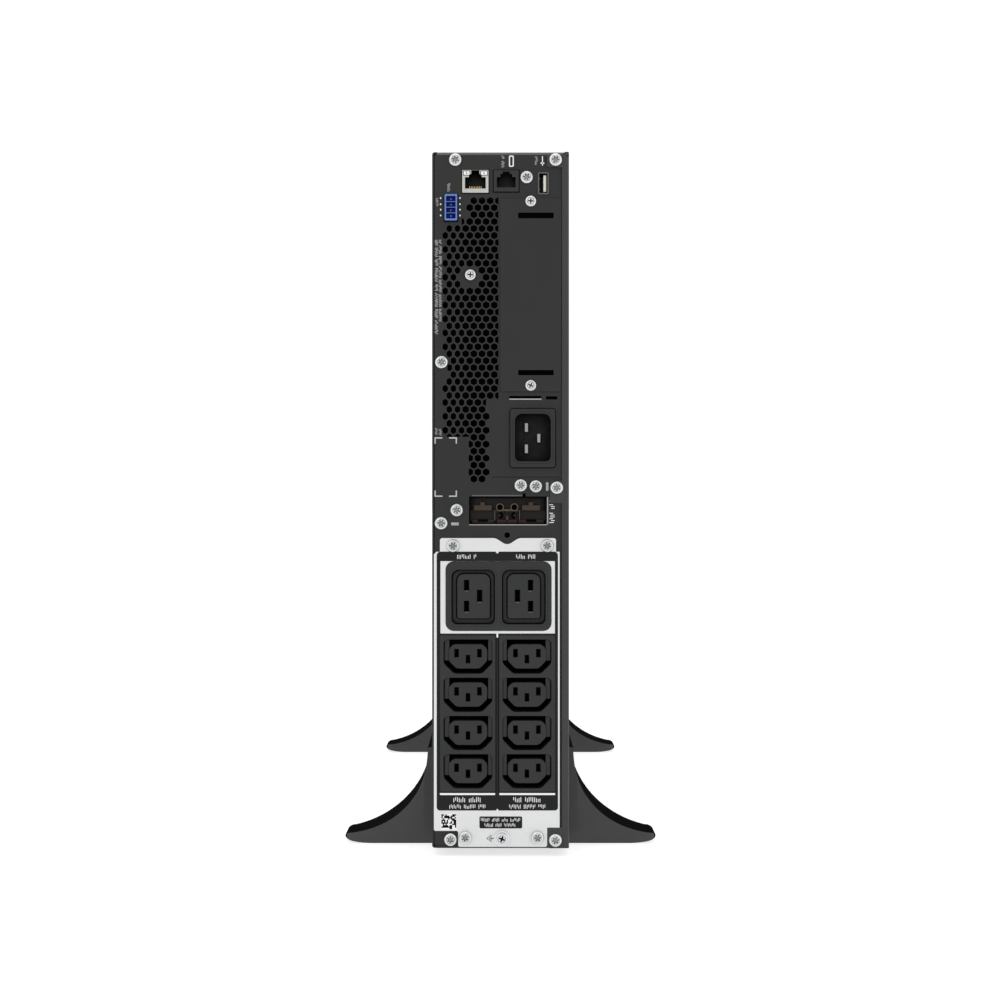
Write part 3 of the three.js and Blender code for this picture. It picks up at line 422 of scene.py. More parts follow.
# Front and inside
BEZEL = finish("bezel_moulding", (0.010, 0.0102, 0.011), 0.44, grain=1100, depth=0.00006, specular=0.35)
BUTTON = finish("button_moulding", (0.028, 0.029, 0.031), 0.4, grain=2200, depth=0.00002, specular=0.4)
LENS = finish("display_glass", (0.006, 0.007, 0.009), 0.12, grain=2500, depth=0.000002, spread=0.04, coat=0.5)
SEGMENT = finish("display_segments", (0.28, 0.33, 0.36), 0.35, grain=4000, depth=0.000002)
CASE = finish("battery_case", (0.07, 0.075, 0.085), 0.5, grain=900, depth=0.00006)
LABEL = finish("label_paper", (0.60, 0.61, 0.60), 0.55, grain=3000, mottle=0.04)
BOARD = finish("solder_mask", (0.004, 0.03, 0.012), 0.45, grain=500, depth=0.00002, mottle=0.2, specular=0.2)
ALUMINIUM = finish("heat_sink_aluminium", (0.68, 0.69, 0.71), 0.36, 1.0, grain=700, stretch=(1, 0.06, 1))
SLEEVE = finish("shrink_sleeve", (0.012, 0.018, 0.04), 0.25, coat=0.3)
VARNISH = finish("varnished_winding", (0.07, 0.035, 0.018), 0.3, grain=420, depth=0.0002, coat=0.4,
                 stretch=(1, 1, 6))
# The floor glows a little, so that it looks blank
PALE_FLOOR = finish("pale_floor", (0.42, 0.42, 0.42), 0.7, grain=180, mottle=0.01)
FLOOR_SHADER = PALE_FLOOR.node_tree.nodes["Principled BSDF"]
FLOOR_SHADER.inputs["Emission Color"].default_value = (1, 1, 1, 1)
FLOOR_SHADER.inputs["Emission Strength"].default_value = 0.72


# ---------- fasteners ----------
def star(radius, inner, lobes=6):
    """Outline of a driver's recess, with round lobes."""
    count = lobes * 6
    ring = []
    for i in range(count):
        angle = 2 * math.pi * i / count
        reach = inner + (radius - inner) * (0.5 + 0.5 * math.cos(lobes * angle))
        ring.append((reach * math.cos(angle), reach * math.sin(angle)))
    return ring


def screw_parts(head_r, head_h, recess, floor, washer=0.0):
    """A pan head seen from outside: crown, recess and, if asked, a washer under it. Seat at height 0."""
    flat_r = head_r * 0.62
    shoulder = head_h * 0.22
    inner = [(across * 0.78, up * 0.78) for across, up in recess]
    crown = [(head_r, 0), (head_r, shoulder)]
    crown += arc(flat_r, shoulder, head_r - flat_r, 15, 90, 5, rise=head_h * 0.74)
    parts = [
        (turned(crown), SCREW),
        (slab(circle(0, 0, flat_r), head_h * 0.3, head_h * 0.96, [recess]), SCREW),
        (slab(circle(0, 0, flat_r * 0.97), head_h * 0.2, head_h * 0.42), floor),
        (slab(circle(0, 0, flat_r * 0.97), head_h * 0.42, head_h * 0.5, [inner]), SCREW_DARK),
    ]
    if washer:
        parts.append((slab(circle(0, 0, washer, 40), -0.9, 0, edge=0.15), SCREW))
    return parts


def screw(name, x, z, seat, parts, spin):
    """A screw whose head stands on the given Y, with its recess turned by spin degrees."""
    obj = piece(name, parts)
    turn = Matrix.Rotation(math.radians(spin), 4, "Y")
    obj.data.transform(Matrix.Translation((x * MM, seat * MM, z * MM)) @ turn)
    return obj


TORX_HEAD = screw_parts(4.1, 2.2, star(2.35, 1.4), RECESS)
CROSS_HEAD = screw_parts(3.6, 2.0, star(1.9, 0.6, 4), SCREW_DARK)
SEAT_GAP = 0.05
# Places of the heads on the panel itself, on the expansion slot, on the cover's tabs and on the plate
PANEL_TORX = ((-28.1, 432.0), (16.2, 421.2), (-36.6, 306.5), (12.5, 230.1), (21.9, 229.5),
              (-27.2, 214.7), (-36.8, 206.6), (-31.1, 10.4))
PANEL_CROSS = ((18.7, 406.2), (18.7, 292.0), (-18.7, 360.5))
TAB_TORX = ((34.1, 431.8), (34.8, 228.6), (34.0, 10.2))
PLATE_TORX = ((-29.5, 192.6), (28.9, 192.6), (-21.9, 11.8), (22.9, 11.8))
SCREW_ROWS = (
    ("panel_screw", PANEL_TORX, REAR, TORX_HEAD),
    ("slot_screw", PANEL_CROSS, PLATE_FACE, CROSS_HEAD),
    ("cover_screw", TAB_TORX, COVER_Y[0], TORX_HEAD),
    ("plate_screw", PLATE_TORX, PLATE_FACE, TORX_HEAD),
)


def all_screws():
    dice = random.Random(7)
    for family, places, seat, parts in SCREW_ROWS:
        for number, (x, z) in enumerate(places, 1):
            screw(f"{family}_{number}", x, z, seat - SEAT_GAP, parts, dice.uniform(0, 60))
    x, _, z = (mid(pair) for pair in limits("earth_screw"))
    # Its recess floor is deep black: painted shade in the recess
    head = screw_parts(3.9, 2.2, star(2.2, 0.85, 4), DEEP, washer=4.9)
    earth = screw("earth_screw_and_washer", x, z, PLATE_FACE - 1.0, head, 20)
    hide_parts("earth_screw")


# ---------- rear panel ----------
HEX_PITCH = 5.07
HEX_ROW = 4.319
HEX_R = 2.33
HEX_TOP = 406.8
HEX_EVEN_X = -31.8  # leftmost cell of an even row; odd rows are half a pitch to the left
HEX_ROWS = 41
HEX_PER_ROW = 8
SLIM_CELLS_X = -23.0  # cells left of this are narrower
SLIM = 0.82
VENT_LEFT = -36.0
VENT_TOP_LEFT = (-19.0, -21.7, -19.0, -24.2)  # the top rows step round the terminal header
VENT_SCREW_ROWS = (23, 24, 25)  # rows that make room for the screw at the panel's left edge
VENT_SCREW_LEFT = -33.0
VENT_CUT_ROW = 34  # left of the lower field, the label's corner marks cut this row off
VENT_CUT_Z = 260.2
VENT_LOWER_LEFT = -19.8
VENT_RIGHT = -1.3
VENT_LAST_FULL_ROW = 28
VENT_STEP_RIGHT = -8.95  # right limit of the row under the last full one
VENT_LOWER_RIGHT = -6.9
SCREW_CLEARANCE = 6.4


def hexagon(x, z, left, right, bottom):
    """A six-sided hole with a point upwards, cut off at a left, right and lower limit."""
    width = SLIM if x < SLIM_CELLS_X else 1
    ring = [(x + (px - x) * width, pz) for px, pz in arc(x, z, HEX_R, 30, 330, 5)]
    return [(min(max(px, left), right), max(pz, bottom)) for px, pz in ring]


def vent_right(row):
    if row <= VENT_LAST_FULL_ROW:
        return VENT_RIGHT
    return VENT_STEP_RIGHT if row == VENT_LAST_FULL_ROW + 1 else VENT_LOWER_RIGHT


def vent_left(row):
    if row < len(VENT_TOP_LEFT):
        return VENT_TOP_LEFT[row]
    if row in VENT_SCREW_ROWS:
        return VENT_SCREW_LEFT
    return VENT_LEFT if row <= VENT_CUT_ROW else VENT_LOWER_LEFT


def vent_holes():
    holes = []
    for row in range(HEX_ROWS):
        z = HEX_TOP - row * HEX_ROW
        shift = HEX_PITCH / 2 if row % 2 else 0
        left, right = vent_left(row), vent_right(row)
        for column in range(HEX_PER_ROW):
            x = HEX_EVEN_X - shift + column * HEX_PITCH
            screw_near = any(math.hypot(x - sx, z - sz) < SCREW_CLEARANCE for sx, sz in PANEL_CROSS)
            if left - 1 < x < right and not screw_near:
                cut_off = row == VENT_CUT_ROW and x < VENT_LOWER_LEFT
                holes.append(hexagon(x, z, left, right, VENT_CUT_Z if cut_off else z - HEX_R))
    return holes


CORD_SLOTS = (((5.4, 25.4), (284.0, 285.6)), ((28.2, 35.2), (283.4, 285.4)))
TAB_SLOTS = (((28.1, 29.9), (226.6, 232.1)), ((-30.8, -25.8), (205.1, 207.2)))
EXPANSION_SLOT = ((3.0, 35.0), (296.0, 402.0))
GUIDE_HOLE = (4.1, 199.2, 1.75)
NOTCH_X = (13.8, 15.6)
NOTCH_HEIGHT = 1.9
MODULE_EDGE = box_ring((-5.0, 37.2), around(235.2, 0.28))  # lower edge of the inlet's own sheet
BARE = 0.8  # width of the bare sheet edge right of the battery socket


def rear_panel():
    """The sheet with all its openings, and what shows in them or runs along them."""
    dc_x, _, dc_z = limits("dc_socket")
    (x0, x1), (z0, z1) = grown(dc_x, 0.6), grown(dc_z, 0.6)
    left, right = NOTCH_X
    step = z1 + NOTCH_HEIGHT
    socket_window = [(x0, z0), (x1, z0), (x1, z1), (right, z1), (right, step), (left, step), (left, z1),
                     (x0, z1)]
    group_2, group_1 = limits("outlet_bank_group_2"), limits("outlet_bank_group_1")
    holes = [
        *vent_holes(), window("network_jack", 0.45), window("serial_jack", 0.45), window("usb_shell", 0.15),
        window("epo_header", 0.5), window("inlet_housing", -1.2), socket_window, window("outlet_pair_16a"),
        box_ring((group_2[0][0], group_1[0][1]), group_2[2]),
        *(box_ring(*slot) for slot in CORD_SLOTS + TAB_SLOTS),
        circle(*GUIDE_HOLE, 20), box_ring(*EXPANSION_SLOT),
    ]
    panel_z = (PANEL_Z[0], TOP - TRAY_BEND + 0.15)
    slot_x, (slot_z, _) = CORD_SLOTS[0]
    bare = ((x1, x1 + BARE), (z0 - 0.5, z1 - 0.4)), ((x0, x1 + BARE), (z0 - 0.5, z0 + 0.1))
    # A pale strip in the bend paint over the socket's window: a painted highlight
    brow = box_ring((x0 + 2, left - 0.5), (z1 + 0.2, z1 + 0.9))
    parts = [
        rear(PAINT, rounded(PANEL_X, panel_z, 1.2), REAR, PANEL_INNER, holes, 0.12),
        rear(TAB_ZINC, box_ring(slot_x, (slot_z - 0.75, slot_z - 0.05)), REAR - 0.35, REAR, edge=0.1),
        # Black sheets behind the cord slots: painted shade, so that nothing shows through them
        *(rear(DEEP, box_ring(*slot, 1.0), PANEL_INNER + 2, PANEL_INNER + 2.6) for slot in CORD_SLOTS),
        *(rear(TAB_ZINC, box_ring(*slot, -0.1), REAR + 0.15, REAR + 4, edge=0.1) for slot in TAB_SLOTS),
        rear(DEEP, MODULE_EDGE, REAR - 0.03, REAR),
        *(rear(BARE_EDGE, box_ring(*strip), REAR - 0.12, REAR + 0.3, edge=0.05) for strip in bare),
        rear(BEND_HIGHLIGHT_PAINT, brow, REAR - 0.1, REAR + 0.3, edge=0.05),
    ]
    piece("rear_panel_sheet", parts, replaces=["rear_panel"])


SLOT_GRIPS = ((395.7, 399.2), (298.4, 301.6))
GRIP_X = (10.9, 32.9)


def slot_cover():
    """Blank over the expansion slot, with a grip slot at each end and a black sheet behind each as painted
    shade.
    """
    x, (face, back), z = limits("expansion_slot_cover")
    slots = [rounded(GRIP_X, pair, 0.3) for pair in SLOT_GRIPS]
    parts = [rear(PAINT, softened(box_ring(x, z), 1.5), face, back, slots, 0.2)]
    for pair in SLOT_GRIPS:
        parts.append(rear(DEEP, box_ring(grown(GRIP_X, 0.9), grown(pair, 0.8)), back + 3, back + 3.6))
    piece("expansion_slot_blank", parts, replaces=["expansion_slot_cover"])


# ---------- cover ----------
FLANGE_X = 38.1
COVER_TABS = ((28.6, (427.4, TOP - 1.8)), (30.6, (219.0, 233.0)), (29.0, (BOTTOM, 18.0)))
CAP_X = 39.7  # the flange's narrow top starts here
CAP_HEIGHT = 1.8
BEND_R = 1.7
THICK = 1.0


def side_cover():
    """The removable side, folded round the rear edge with a bend, with three screw tabs."""
    right, face = COVER_X[1], COVER_Y[0]
    inner = right - SHEET
    bend = arc(right - BEND_R, face + BEND_R, BEND_R, -90, 0, 8)
    inside = arc(inner - 0.5, face + THICK + 0.5, 0.5, 0, -90, 4)
    folded = [*bend, (right, COVER_Y[1]), (inner, COVER_Y[1]), *inside]
    plan = [(FLANGE_X, face), *folded, (FLANGE_X, face + THICK)]
    narrow = [(CAP_X, face + 0.01), *folded, (CAP_X, face + THICK - 0.01)]
    low, high = COVER_Z
    # All of it in the paler cover paint, whose tone is a painted sheen
    parts = [
        (slab(plan, low, high - CAP_HEIGHT, side=FROM_TOP, edge=0.15), COVER_SHEEN_PAINT),
        (slab(narrow, high - 2 * CAP_HEIGHT, high, side=FROM_TOP, edge=0.4, steps=3), COVER_SHEEN_PAINT),
    ]
    for x, z in COVER_TABS:
        tab = softened(box_ring((x, FLANGE_X + 0.6), z), 1.2)
        parts.append(rear(COVER_SHEEN_PAINT, tab, face, face + THICK, edge=0.15))
    piece("side_cover_sheet", parts, replaces=["side_cover"])


# ---------- outlets ----------
MOUTH_DEPTH = 14.0
MIDDLE_X = -2.0  # between the two banks
LONG_SLOT = 6.0  # slots longer than this have a worn lower lip


def socket_walls(ring, face, depth, material, wall=0.7):
    """The walls of a recess, open in front."""
    middle = Vector((sum(p[0] for p in ring) / len(ring), sum(p[1] for p in ring) / len(ring)))
    widest = max((Vector(p) - middle).length for p in ring)
    outer = [tuple(middle + (Vector(p) - middle) * (1 + wall / widest)) for p in ring]
    return rear(material, outer, face + 0.4, face + depth, [ring])


def core(outline, slots, face, sink):
    """The plug-shaped island in a recess, with its slots, a dark back to each, and brass leaves inside.

    A slot is its middle's X and Z, its width and its height."""
    holes = [box_ring(around(x, w), around(z, h)) for x, z, w, h in slots]
    parts = [rear(OUTLET, outline, face + sink, face + MOUTH_DEPTH, holes, 0.45, 3)]
    for x, z, w, h in slots:
        back = box_ring(around(x, w + 0.4), around(z, h + 0.4))
        parts.append(rear(DEEP, back, face + 12.4, face + 13))
    for x, z, w, h in slots:
        if h > LONG_SLOT:
            lip = box_ring(around(x, w * 0.8), (z - h / 2 - 0.4, z - h / 2 - 0.1))
            parts.append(rear(SLOT_LIP, lip, face + sink - 0.04, face + sink + 0.4))
    for x, z, w, h in slots:
        for side in (-1, 1):
            leaf_x = around(x + side * w * 0.34, 0.35)
            parts.append(block(OLD_BRASS, leaf_x, (face + 9, face + 12), around(z, h * 0.85), 0.1))
    return parts


C13_CENTRES = {"outlet_bank_group_2": -20.2, "outlet_bank_group_1": 16.35}
C13_ROWS = [126.0 - 23.7 * i for i in range(4)]
# Half the width, height under and over the middle, lower chamfer and upper corner
C13_MOUTH = (15.1, 12.6, 8.5, 6.4, 1.6)
C13_CORE = (12.0, 9.6, 5.6, 4.8, 3.0)
C13_SLOTS = ((-7.1, 0.0, 2.8, 5.1), (7.1, 0.0, 2.8, 5.1), (0.0, -3.7, 2.7, 5.1))
SHELF_SINK = 1.5
SHELF_GAP = 0.9
SHELF_X = (11.6, 15.5)  # from the outlet's middle
SHELF_Z = (-4.6, 8.8)


def c13_outline(cx, z, half, bottom, top, chamfer, corner):
    left, right, low, high = cx - half, cx + half, z - bottom, z + top
    return softened([
        (left + chamfer, low), (right - chamfer, low), (right, low + chamfer), (right, high - corner),
        (right - corner, high), (left + corner, high), (left, high - corner), (left, low + chamfer),
    ], 1.6)


def side_shelves(cx, z, face):
    """Shallow shelves beside a core, each parted from the wall or the core by a dark slit."""
    parts = []
    for side in (-1, 1):
        near, far = sorted(side * x for x in SHELF_X)
        if cx < MIDDLE_X:
            near += SHELF_GAP
        else:
            far -= SHELF_GAP
        ring = softened(box_ring((cx + near, cx + far), shifted(SHELF_Z, z)), 0.6)
        parts.append(rear(OUTLET, ring, face + SHELF_SINK, face + MOUTH_DEPTH, edge=0.2))
    return parts


def c13_bank(node):
    """Four 10 A outlets in one moulding."""
    x, (face, back), z_span = limits(node)
    cx = C13_CENTRES[node]
    mouths = [c13_outline(cx, z, *C13_MOUTH) for z in C13_ROWS]
    parts = [rear(OUTLET, softened(box_ring(x, z_span), 1.5), face, face + 2.2, mouths, 0.35)]
    for z, mouth in zip(C13_ROWS, mouths):
        parts.append(socket_walls(mouth, face, MOUTH_DEPTH, OUTLET))
        slots = [(cx + dx, z + dz, w, h) for dx, dz, w, h in C13_SLOTS]
        parts += core(c13_outline(cx, z, *C13_CORE), slots, face, 0.6) + side_shelves(cx, z, face)
    parts.append(rear(DEEP, box_ring(x, z_span, -0.3), face + MOUTH_DEPTH - 0.2, back))
    piece(f"{node}_moulding", parts, replaces=[node])


# X of each outlet's mouth, core, live slots and earth slot
C19 = (((-30.4, -3.5), (-27.0, -6.5), -21.1, -13.0), ((0.9, 27.9), (4.3, 24.6), 18.6, 10.5))
C19_MOUTH_Z = (143.9, 177.8)
C19_CORE_Z = (147.4, 175.2)
C19_LIVE = ((168.1, 3.2, 6.6), (155.05, 3.2, 6.7))
C19_EARTH = (161.55, 3.3, 7.5)
LEDGE_SINK = 3.6  # depth of the ledge round a core


def c19_pair():
    """Two 16 A outlets in one raised moulding with a dished face."""
    x, (face, back), z = limits("outlet_pair_16a")
    mouths = [rounded(mouth_x, C19_MOUTH_Z, 4.5, 3.5) for mouth_x, *_ in C19]
    parts = [rear(OUTLET, rounded(x, z, 5), face, face + 2.6, mouths, 0.5, 3)]
    for (mouth_x, core_x, live, earth), mouth in zip(C19, mouths):
        collar = rounded(mouth_x, C19_MOUTH_Z, 5.4, 4.4, by=1.2)
        ledge = rounded(mouth_x, C19_MOUTH_Z, 4.0, 3.0, by=-0.5)
        round_core = rounded(core_x, C19_CORE_Z, 4.7, 2.1, by=0.5)
        slots = [*((live, *row) for row in C19_LIVE), (earth, *C19_EARTH)]
        parts += [
            rear(OUTLET, collar, face - 0.35, face + 0.6, [mouth], 0.3, 3),
            socket_walls(mouth, face, MOUTH_DEPTH, OUTLET),
            rear(OUTLET, ledge, face + LEDGE_SINK, face + LEDGE_SINK + 1.0, [round_core], 0.2),
            *core(rounded(core_x, C19_CORE_Z, 4.2, 1.6), slots, face, 0.9),
        ]
    parts.append(rear(DEEP, rounded(x, z, 5, by=-0.4), face + MOUTH_DEPTH - 0.2, back))
    piece("outlet_pair_moulding", parts, replaces=["outlet_pair_16a"])


# ---------- print ----------
STROKE = 0.13  # width of a stroke, as a share of the line's height
STROKE_GAP = 0.22
WORD_GAP = 0.55


def text_bars(cx, z, length, height, seed):
    """Plain upright strokes in place of a line of print, parted into groups."""
    dice = random.Random(seed)
    bars = []
    x = cx - length / 2
    left_in_group = dice.randint(5, 12)
    while x + STROKE * height < cx + length / 2:
        rise = height * dice.uniform(0.55, 1.0)
        low = z - height / 2 + dice.choice((0, height - rise))
        bars.append(box_ring((x, x + STROKE * height), (low, low + rise)))
        left_in_group -= 1
        x += (STROKE + STROKE_GAP) * height
        if left_in_group == 0:
            left_in_group = dice.randint(5, 12)
            x += WORD_GAP * height
    return bars


# ---------- bright plate and its printed overlay ----------
PLATE_TOP = 197.4
PLATE_SHOULDER = 188.9
PLATE_DIP = (12.6, 17.0, 3.8)  # right end, width and depth of the dip in the upper edge
DIP_STEPS = 12
OVERLAY_X = (-39.6, 35.6)
OVERLAY_Z = (28.5, 189.0)
OVERLAY_RISE = 0.14
BRIGHT_X = (-37.3, 33.7)
BRIGHT_Z = (138.2, 183.1)
# Middle, length and height of each line of print
OVERLAY_TEXT = ((-20.5, 35.2, 17.4, 3.2), (16.6, 35.2, 17.4, 3.2), (-20.5, 30.9, 22.4, 2.7),
                (16.6, 30.9, 22.4, 2.7), (-20.6, 185.9, 12.6, 2.8), (16.0, 185.9, 12.6, 2.8))
RULES = ((-37.6, -3.4), (-0.7, 33.8))
RULE_Z = (38.1, 39.3)
DIVIDER_FOOT = 135.8  # lower end of the pale divider between the banks


def plate_outline():
    left, right = PLATE_X[0] + 0.35, PLATE_X[1] - 0.25
    start, width, depth = PLATE_DIP
    dip = [(start, PLATE_TOP)]
    for i in range(1, DIP_STEPS):
        t = i / DIP_STEPS
        dip.append((start - width * t, PLATE_TOP - depth * math.sin(math.pi * t) ** 2))
    dip.append((start - width, PLATE_TOP))
    return [
        (left, 16.6), (left + 0.8, 15.8), (-27.0, 15.8), (-26.3, 15.0), (-26.3, 6.6), (-25.4, 5.9),
        (28.0, 5.9), (28.9, 6.8), (28.9, 17.8), (right, 17.8), (right, PLATE_SHOULDER),
        (34.4, PLATE_SHOULDER), (34.4, PLATE_TOP - 1), (33.4, PLATE_TOP), *dip,
        (-36.6, PLATE_TOP), (-37.6, PLATE_TOP - 1), (-37.6, PLATE_SHOULDER),
        (left + 1.6, PLATE_SHOULDER), (left, PLATE_SHOULDER - 1.6),
    ]


def outlet_plate():
    pair_x, _, pair_z = limits("outlet_pair_16a")
    (x2, _, z2), (x1, _, z1) = limits("outlet_bank_group_2"), limits("outlet_bank_group_1")
    holes = [rounded(pair_x, pair_z, 5.2, by=0.2), box_ring(x2, z2, 0.2), box_ring(x1, z1, 0.2)]
    sheet = rear(PLATE, plate_outline(), PLATE_FACE, PLATE_BACK, holes, 0.15)
    piece("outlet_plate_sheet", [sheet], replaces=["outlet_plate"])

    low, high = OVERLAY_Z
    ring = rounded(OVERLAY_X, OVERLAY_Z, 2.4, 2.0)
    split = next(i for i, p in enumerate(ring) if p[1] >= high - 1e-6 and p[0] < MIDDLE_X)
    notch = [(MIDDLE_X + 1.2, high), (MIDDLE_X, high - 1.4), (MIDDLE_X - 1.2, high)]
    bottom = [(MIDDLE_X - 1.0, low), (MIDDLE_X, low + 1.2), (MIDDLE_X + 1.0, low)]
    ring = bottom + ring[:split] + notch + ring[split:]
    windows = [box_ring(BRIGHT_X, BRIGHT_Z)]
    windows += [box_ring(grown(x, -0.3), grown(z, -0.4)) for x, z in ((x2, z2), (x1, z1))]
    face = PLATE_FACE - OVERLAY_RISE
    parts = [rear(OVERLAY, ring, face, PLATE_FACE - 0.02, windows, 0.03)]
    marks = [box_ring(x, RULE_Z) for x in RULES]
    for number, line in enumerate(OVERLAY_TEXT, 1):
        marks += text_bars(*line, number)
    marks.append(box_ring(around(MIDDLE_X, 1.0), (DIVIDER_FOOT, BRIGHT_Z[0])))
    parts += [rear(PRINT, mark, face - SKIN, face - SKIN + 0.05) for mark in marks]
    for x in (x2[1] + 0.15, x1[0] - 0.15):
        groove = box_ring(around(x, 0.5), (z1[0] + 0.5, DIVIDER_FOOT - 0.4))
        parts.append(rear(DEEP, groove, face - SKIN, face - SKIN + 0.05))
    piece("outlet_overlay", parts)


# ---------- mains inlet ----------
CAVITY = ((8.9, 31.1), (245.0, 274.5))
CAVITY_FLOOR = 19.0
BLADE_NODES = ("inlet_blade_line", "inlet_blade_neutral", "inlet_blade_earth")


def mains_inlet():
    x, (face, back), z = limits("inlet_housing")
    mouth = rounded(*CAVITY, 4.5, 3.0)
    floor = PLATE_FACE + CAVITY_FLOOR
    seats = [window(blade, 0.1) for blade in BLADE_NODES]
    parts = [
        rear(DEEP, rounded(x, z, 2.0, by=0.45), REAR - 0.12, REAR - 0.02, [mouth]),
        rear(INLET, rounded(x, z, 1.6), face, PLATE_BACK, [mouth], 0.35, 3),
        rear(INLET, rounded(*CAVITY, 5.4, 4, by=1.1), face - 0.5, face + 0.4, [mouth], 0.24, 3),
        socket_walls(mouth, face, floor - face, BLACK, 1.2),
        rear(BLACK, rounded(*CAVITY, 5, 4, by=1), floor, back, seats, 0.1),
    ]
    piece("mains_inlet_moulding", parts, replaces=["inlet_housing"])


# ---------- communication ports ----------
# Share of the mouth's width and height over its top, for each step of the latch's channel
LATCH_STEPS = ((0.62, 2.0), (0.36, 3.4))
OPEN_LATCH = ((0.62, 2.0), (0.38, 4.3))
JACK_DEPTH = 11.0
WIRE_PITCH = 1.02
# Y from the face and Z from the floor of a contact's long leg and of the bend at its end
WIRE = (((1.6, 9.5), (0.55, 0.85)), ((1.4, 2.0), (0.2, 1.5)))
LED_ACROSS = 5.4


def jack_mouth(cx, floor, width, height, steps):
    """Opening of a modular jack: the plug's width, then steps that narrow upwards for its latch."""
    half = width / 2
    ring = [(cx - half, floor), (cx + half, floor), (cx + half, floor + height)]
    for share, rise in steps:
        ring += [(cx + half * share, ring[-1][1]), (cx + half * share, floor + height + rise)]
    return ring + [(2 * cx - px, pz) for px, pz in ring[:1:-1]]


def jack(name, node, shell, lining, width, height, latch, lights):
    """A modular jack: shell, lined mouth, contacts and, if asked, its two status lights."""
    x, (face, back), z = limits(node)
    cx = mid(x)
    floor = z[0] + 2.6
    mouth = jack_mouth(cx, floor, width, height, latch)
    parts = [
        rear(shell, softened(box_ring(x, z), 0.5), face, face + 1.2, [mouth], 0.14),
        rear(lining, box_ring(x, z, -0.15), face + 1.0, face + JACK_DEPTH, [mouth]),
        rear(lining, box_ring(x, z), face + JACK_DEPTH, back, edge=0.2),
    ]
    count, metal = (8, GOLD) if lights else (6, BLACK)
    for i in range(count):
        wire_x = around(cx + (i - (count - 1) / 2) * WIRE_PITCH, 0.34)
        parts += [block(metal, wire_x, shifted(y, face), shifted(rise, floor), 0.08) for y, rise in WIRE]
    for led in (cx - LED_ACROSS, cx + LED_ACROSS) if lights else ():
        led_x, led_z = around(led, 3.8), (z[1] - 3.1, z[1] - 0.8)
        parts += [
            rear(DEEP, box_ring(led_x, led_z, 0.35), face - 0.06, face + 0.1),
            block(LED, led_x, (face - 0.25, face + 0.8), led_z, 0.2),
            block(BLACK, around(led, 0.5), (face - 0.3, face), grown(led_z, -0.5), 0.05),
        ]
    piece(name, parts, replaces=[node])


def usb_port():
    """An upright socket: shell with a flared mouth, springs in it, and the tongue with its contacts."""
    x, (face, back), z = limits("usb_shell")
    inner = rounded(x, z, 0.4, by=-0.5)
    parts = [
        rear(NICKEL, rounded(x, z, 0.9), face, back, [inner], 0.15),
        rear(NICKEL, rounded(x, z, 1.1, by=0.35), face, face + 0.5, [inner], 0.15),
        rear(INLET, rounded(x, z, 0.9), back - 1.2, back - 0.4),
    ]
    for i in range(4):
        contact_z = around(mid(z) + (i - 1.5) * 2.3, 1.1)
        parts.append(block(NICKEL, (26.35, 26.6), (face + 1.8, face + 9), contact_z, 0.05))
    for spring_z in (z[0] + 3.2, z[1] - 3.2):
        spring_x = shifted((0.45, 0.85), x[0])
        parts.append(block(NICKEL, spring_x, (face + 2.5, face + 8), around(spring_z, 1.6), 0.1))
    piece("usb_socket", parts, replaces=["usb_shell"])
    tongue = block(CREAM, *limits("usb_tongue"), 0.25)
    piece("usb_socket_tongue", [tongue], replaces=["usb_tongue"])


EPO_PITCH = 3.5


def epo_terminal():
    """Four-way pluggable terminal header with a pin in each pocket."""
    x, (face, back), z = limits("epo_header")
    cx = mid(x)
    centres = [mid(z) + (i - 1.5) * EPO_PITCH for i in range(4)]
    pockets = [softened(box_ring(around(cx, 5.3), around(c, 2.75)), 0.35) for c in centres]
    opening = rounded(around(cx, 5.9), grown((centres[0], centres[-1]), 1.75), 0.5)
    outline = rounded(x, z, 0.5)
    parts = [
        rear(BLUE_DEEP, outline, face, face + 6, pockets, 0.2),
        rear(BLUE_RIM, outline, face - 0.25, face + 0.3, [opening], 0.1),
        rear(BLUE_DEEP, outline, face + 1.6, back, edge=0.2),
    ]
    for pair in zip(centres, centres[1:]):
        rib = box_ring(around(cx, 5.7), around(mid(pair), 0.4))
        parts.append(rear(BLUE_RIM, rib, face - 0.1, face + 0.2, edge=0.05))
    for c in centres:
        parts.append(rear(BLUE_RIM, box_ring(around(cx, 0.8), around(c, 0.8)), face + 1.3, face + 1.6))
    piece("epo_terminal_header", parts, replaces=["epo_header"])


# ---------- external battery socket ----------
SOCKET_DEPTH = 24
POWER_X = (-11.0, 19.0)
MOUTH_WIDTH = 18.6
LEDGE_Z = (214.5, 217.8)
PILOT_X = (-0.4, 8.6)
PILOT_CAP_Z = 216.5
PILOT_Z = 211.3
PIN = ((0.45, 0), (0.45, 0.6), (0.2, 0.8), (0, 0.8))
SILL_Z = (206.4, 208.6)
SILLS = ((-11.0, 13.6), (4.1, 12.4), (19.0, 15.6))  # middle and width


def raised(material, ring, face, out, holes=(), edge=0.0, back=0.2):
    """A part that stands out from a face by so much, and reaches back behind it."""
    return rear(material, ring, face - out, face + back, holes, edge)


def power_mouth(px, face):
    """A blade mouth: a stepped ledge over a dark cavity."""
    width = around(px, MOUTH_WIDTH)
    cavity = rounded(width, (208.6, 214.2), 0.6)
    rim = rounded(grown(width, 0.7), (208.0, 214.8), 0.8)
    return [
        raised(LEDGE, rounded(around(px, 11.2), LEDGE_Z, 0.4), face, 2.6, edge=0.3, back=0.4),
        raised(LEDGE, rounded(around(px - 0.2, 2.8), (217.5, 219.7), 0.5), face, 2.9, edge=0.3, back=0.4),
        raised(BROWN, cavity, face, 0.6, back=-0.4),
        raised(BROWN, rim, face, 1.8, [cavity], 0.2),
        raised(DEEP, rounded(around(px, 6.4), (207.4, 209.0), 0.3), face, 2.2, back=-2.0),
    ]


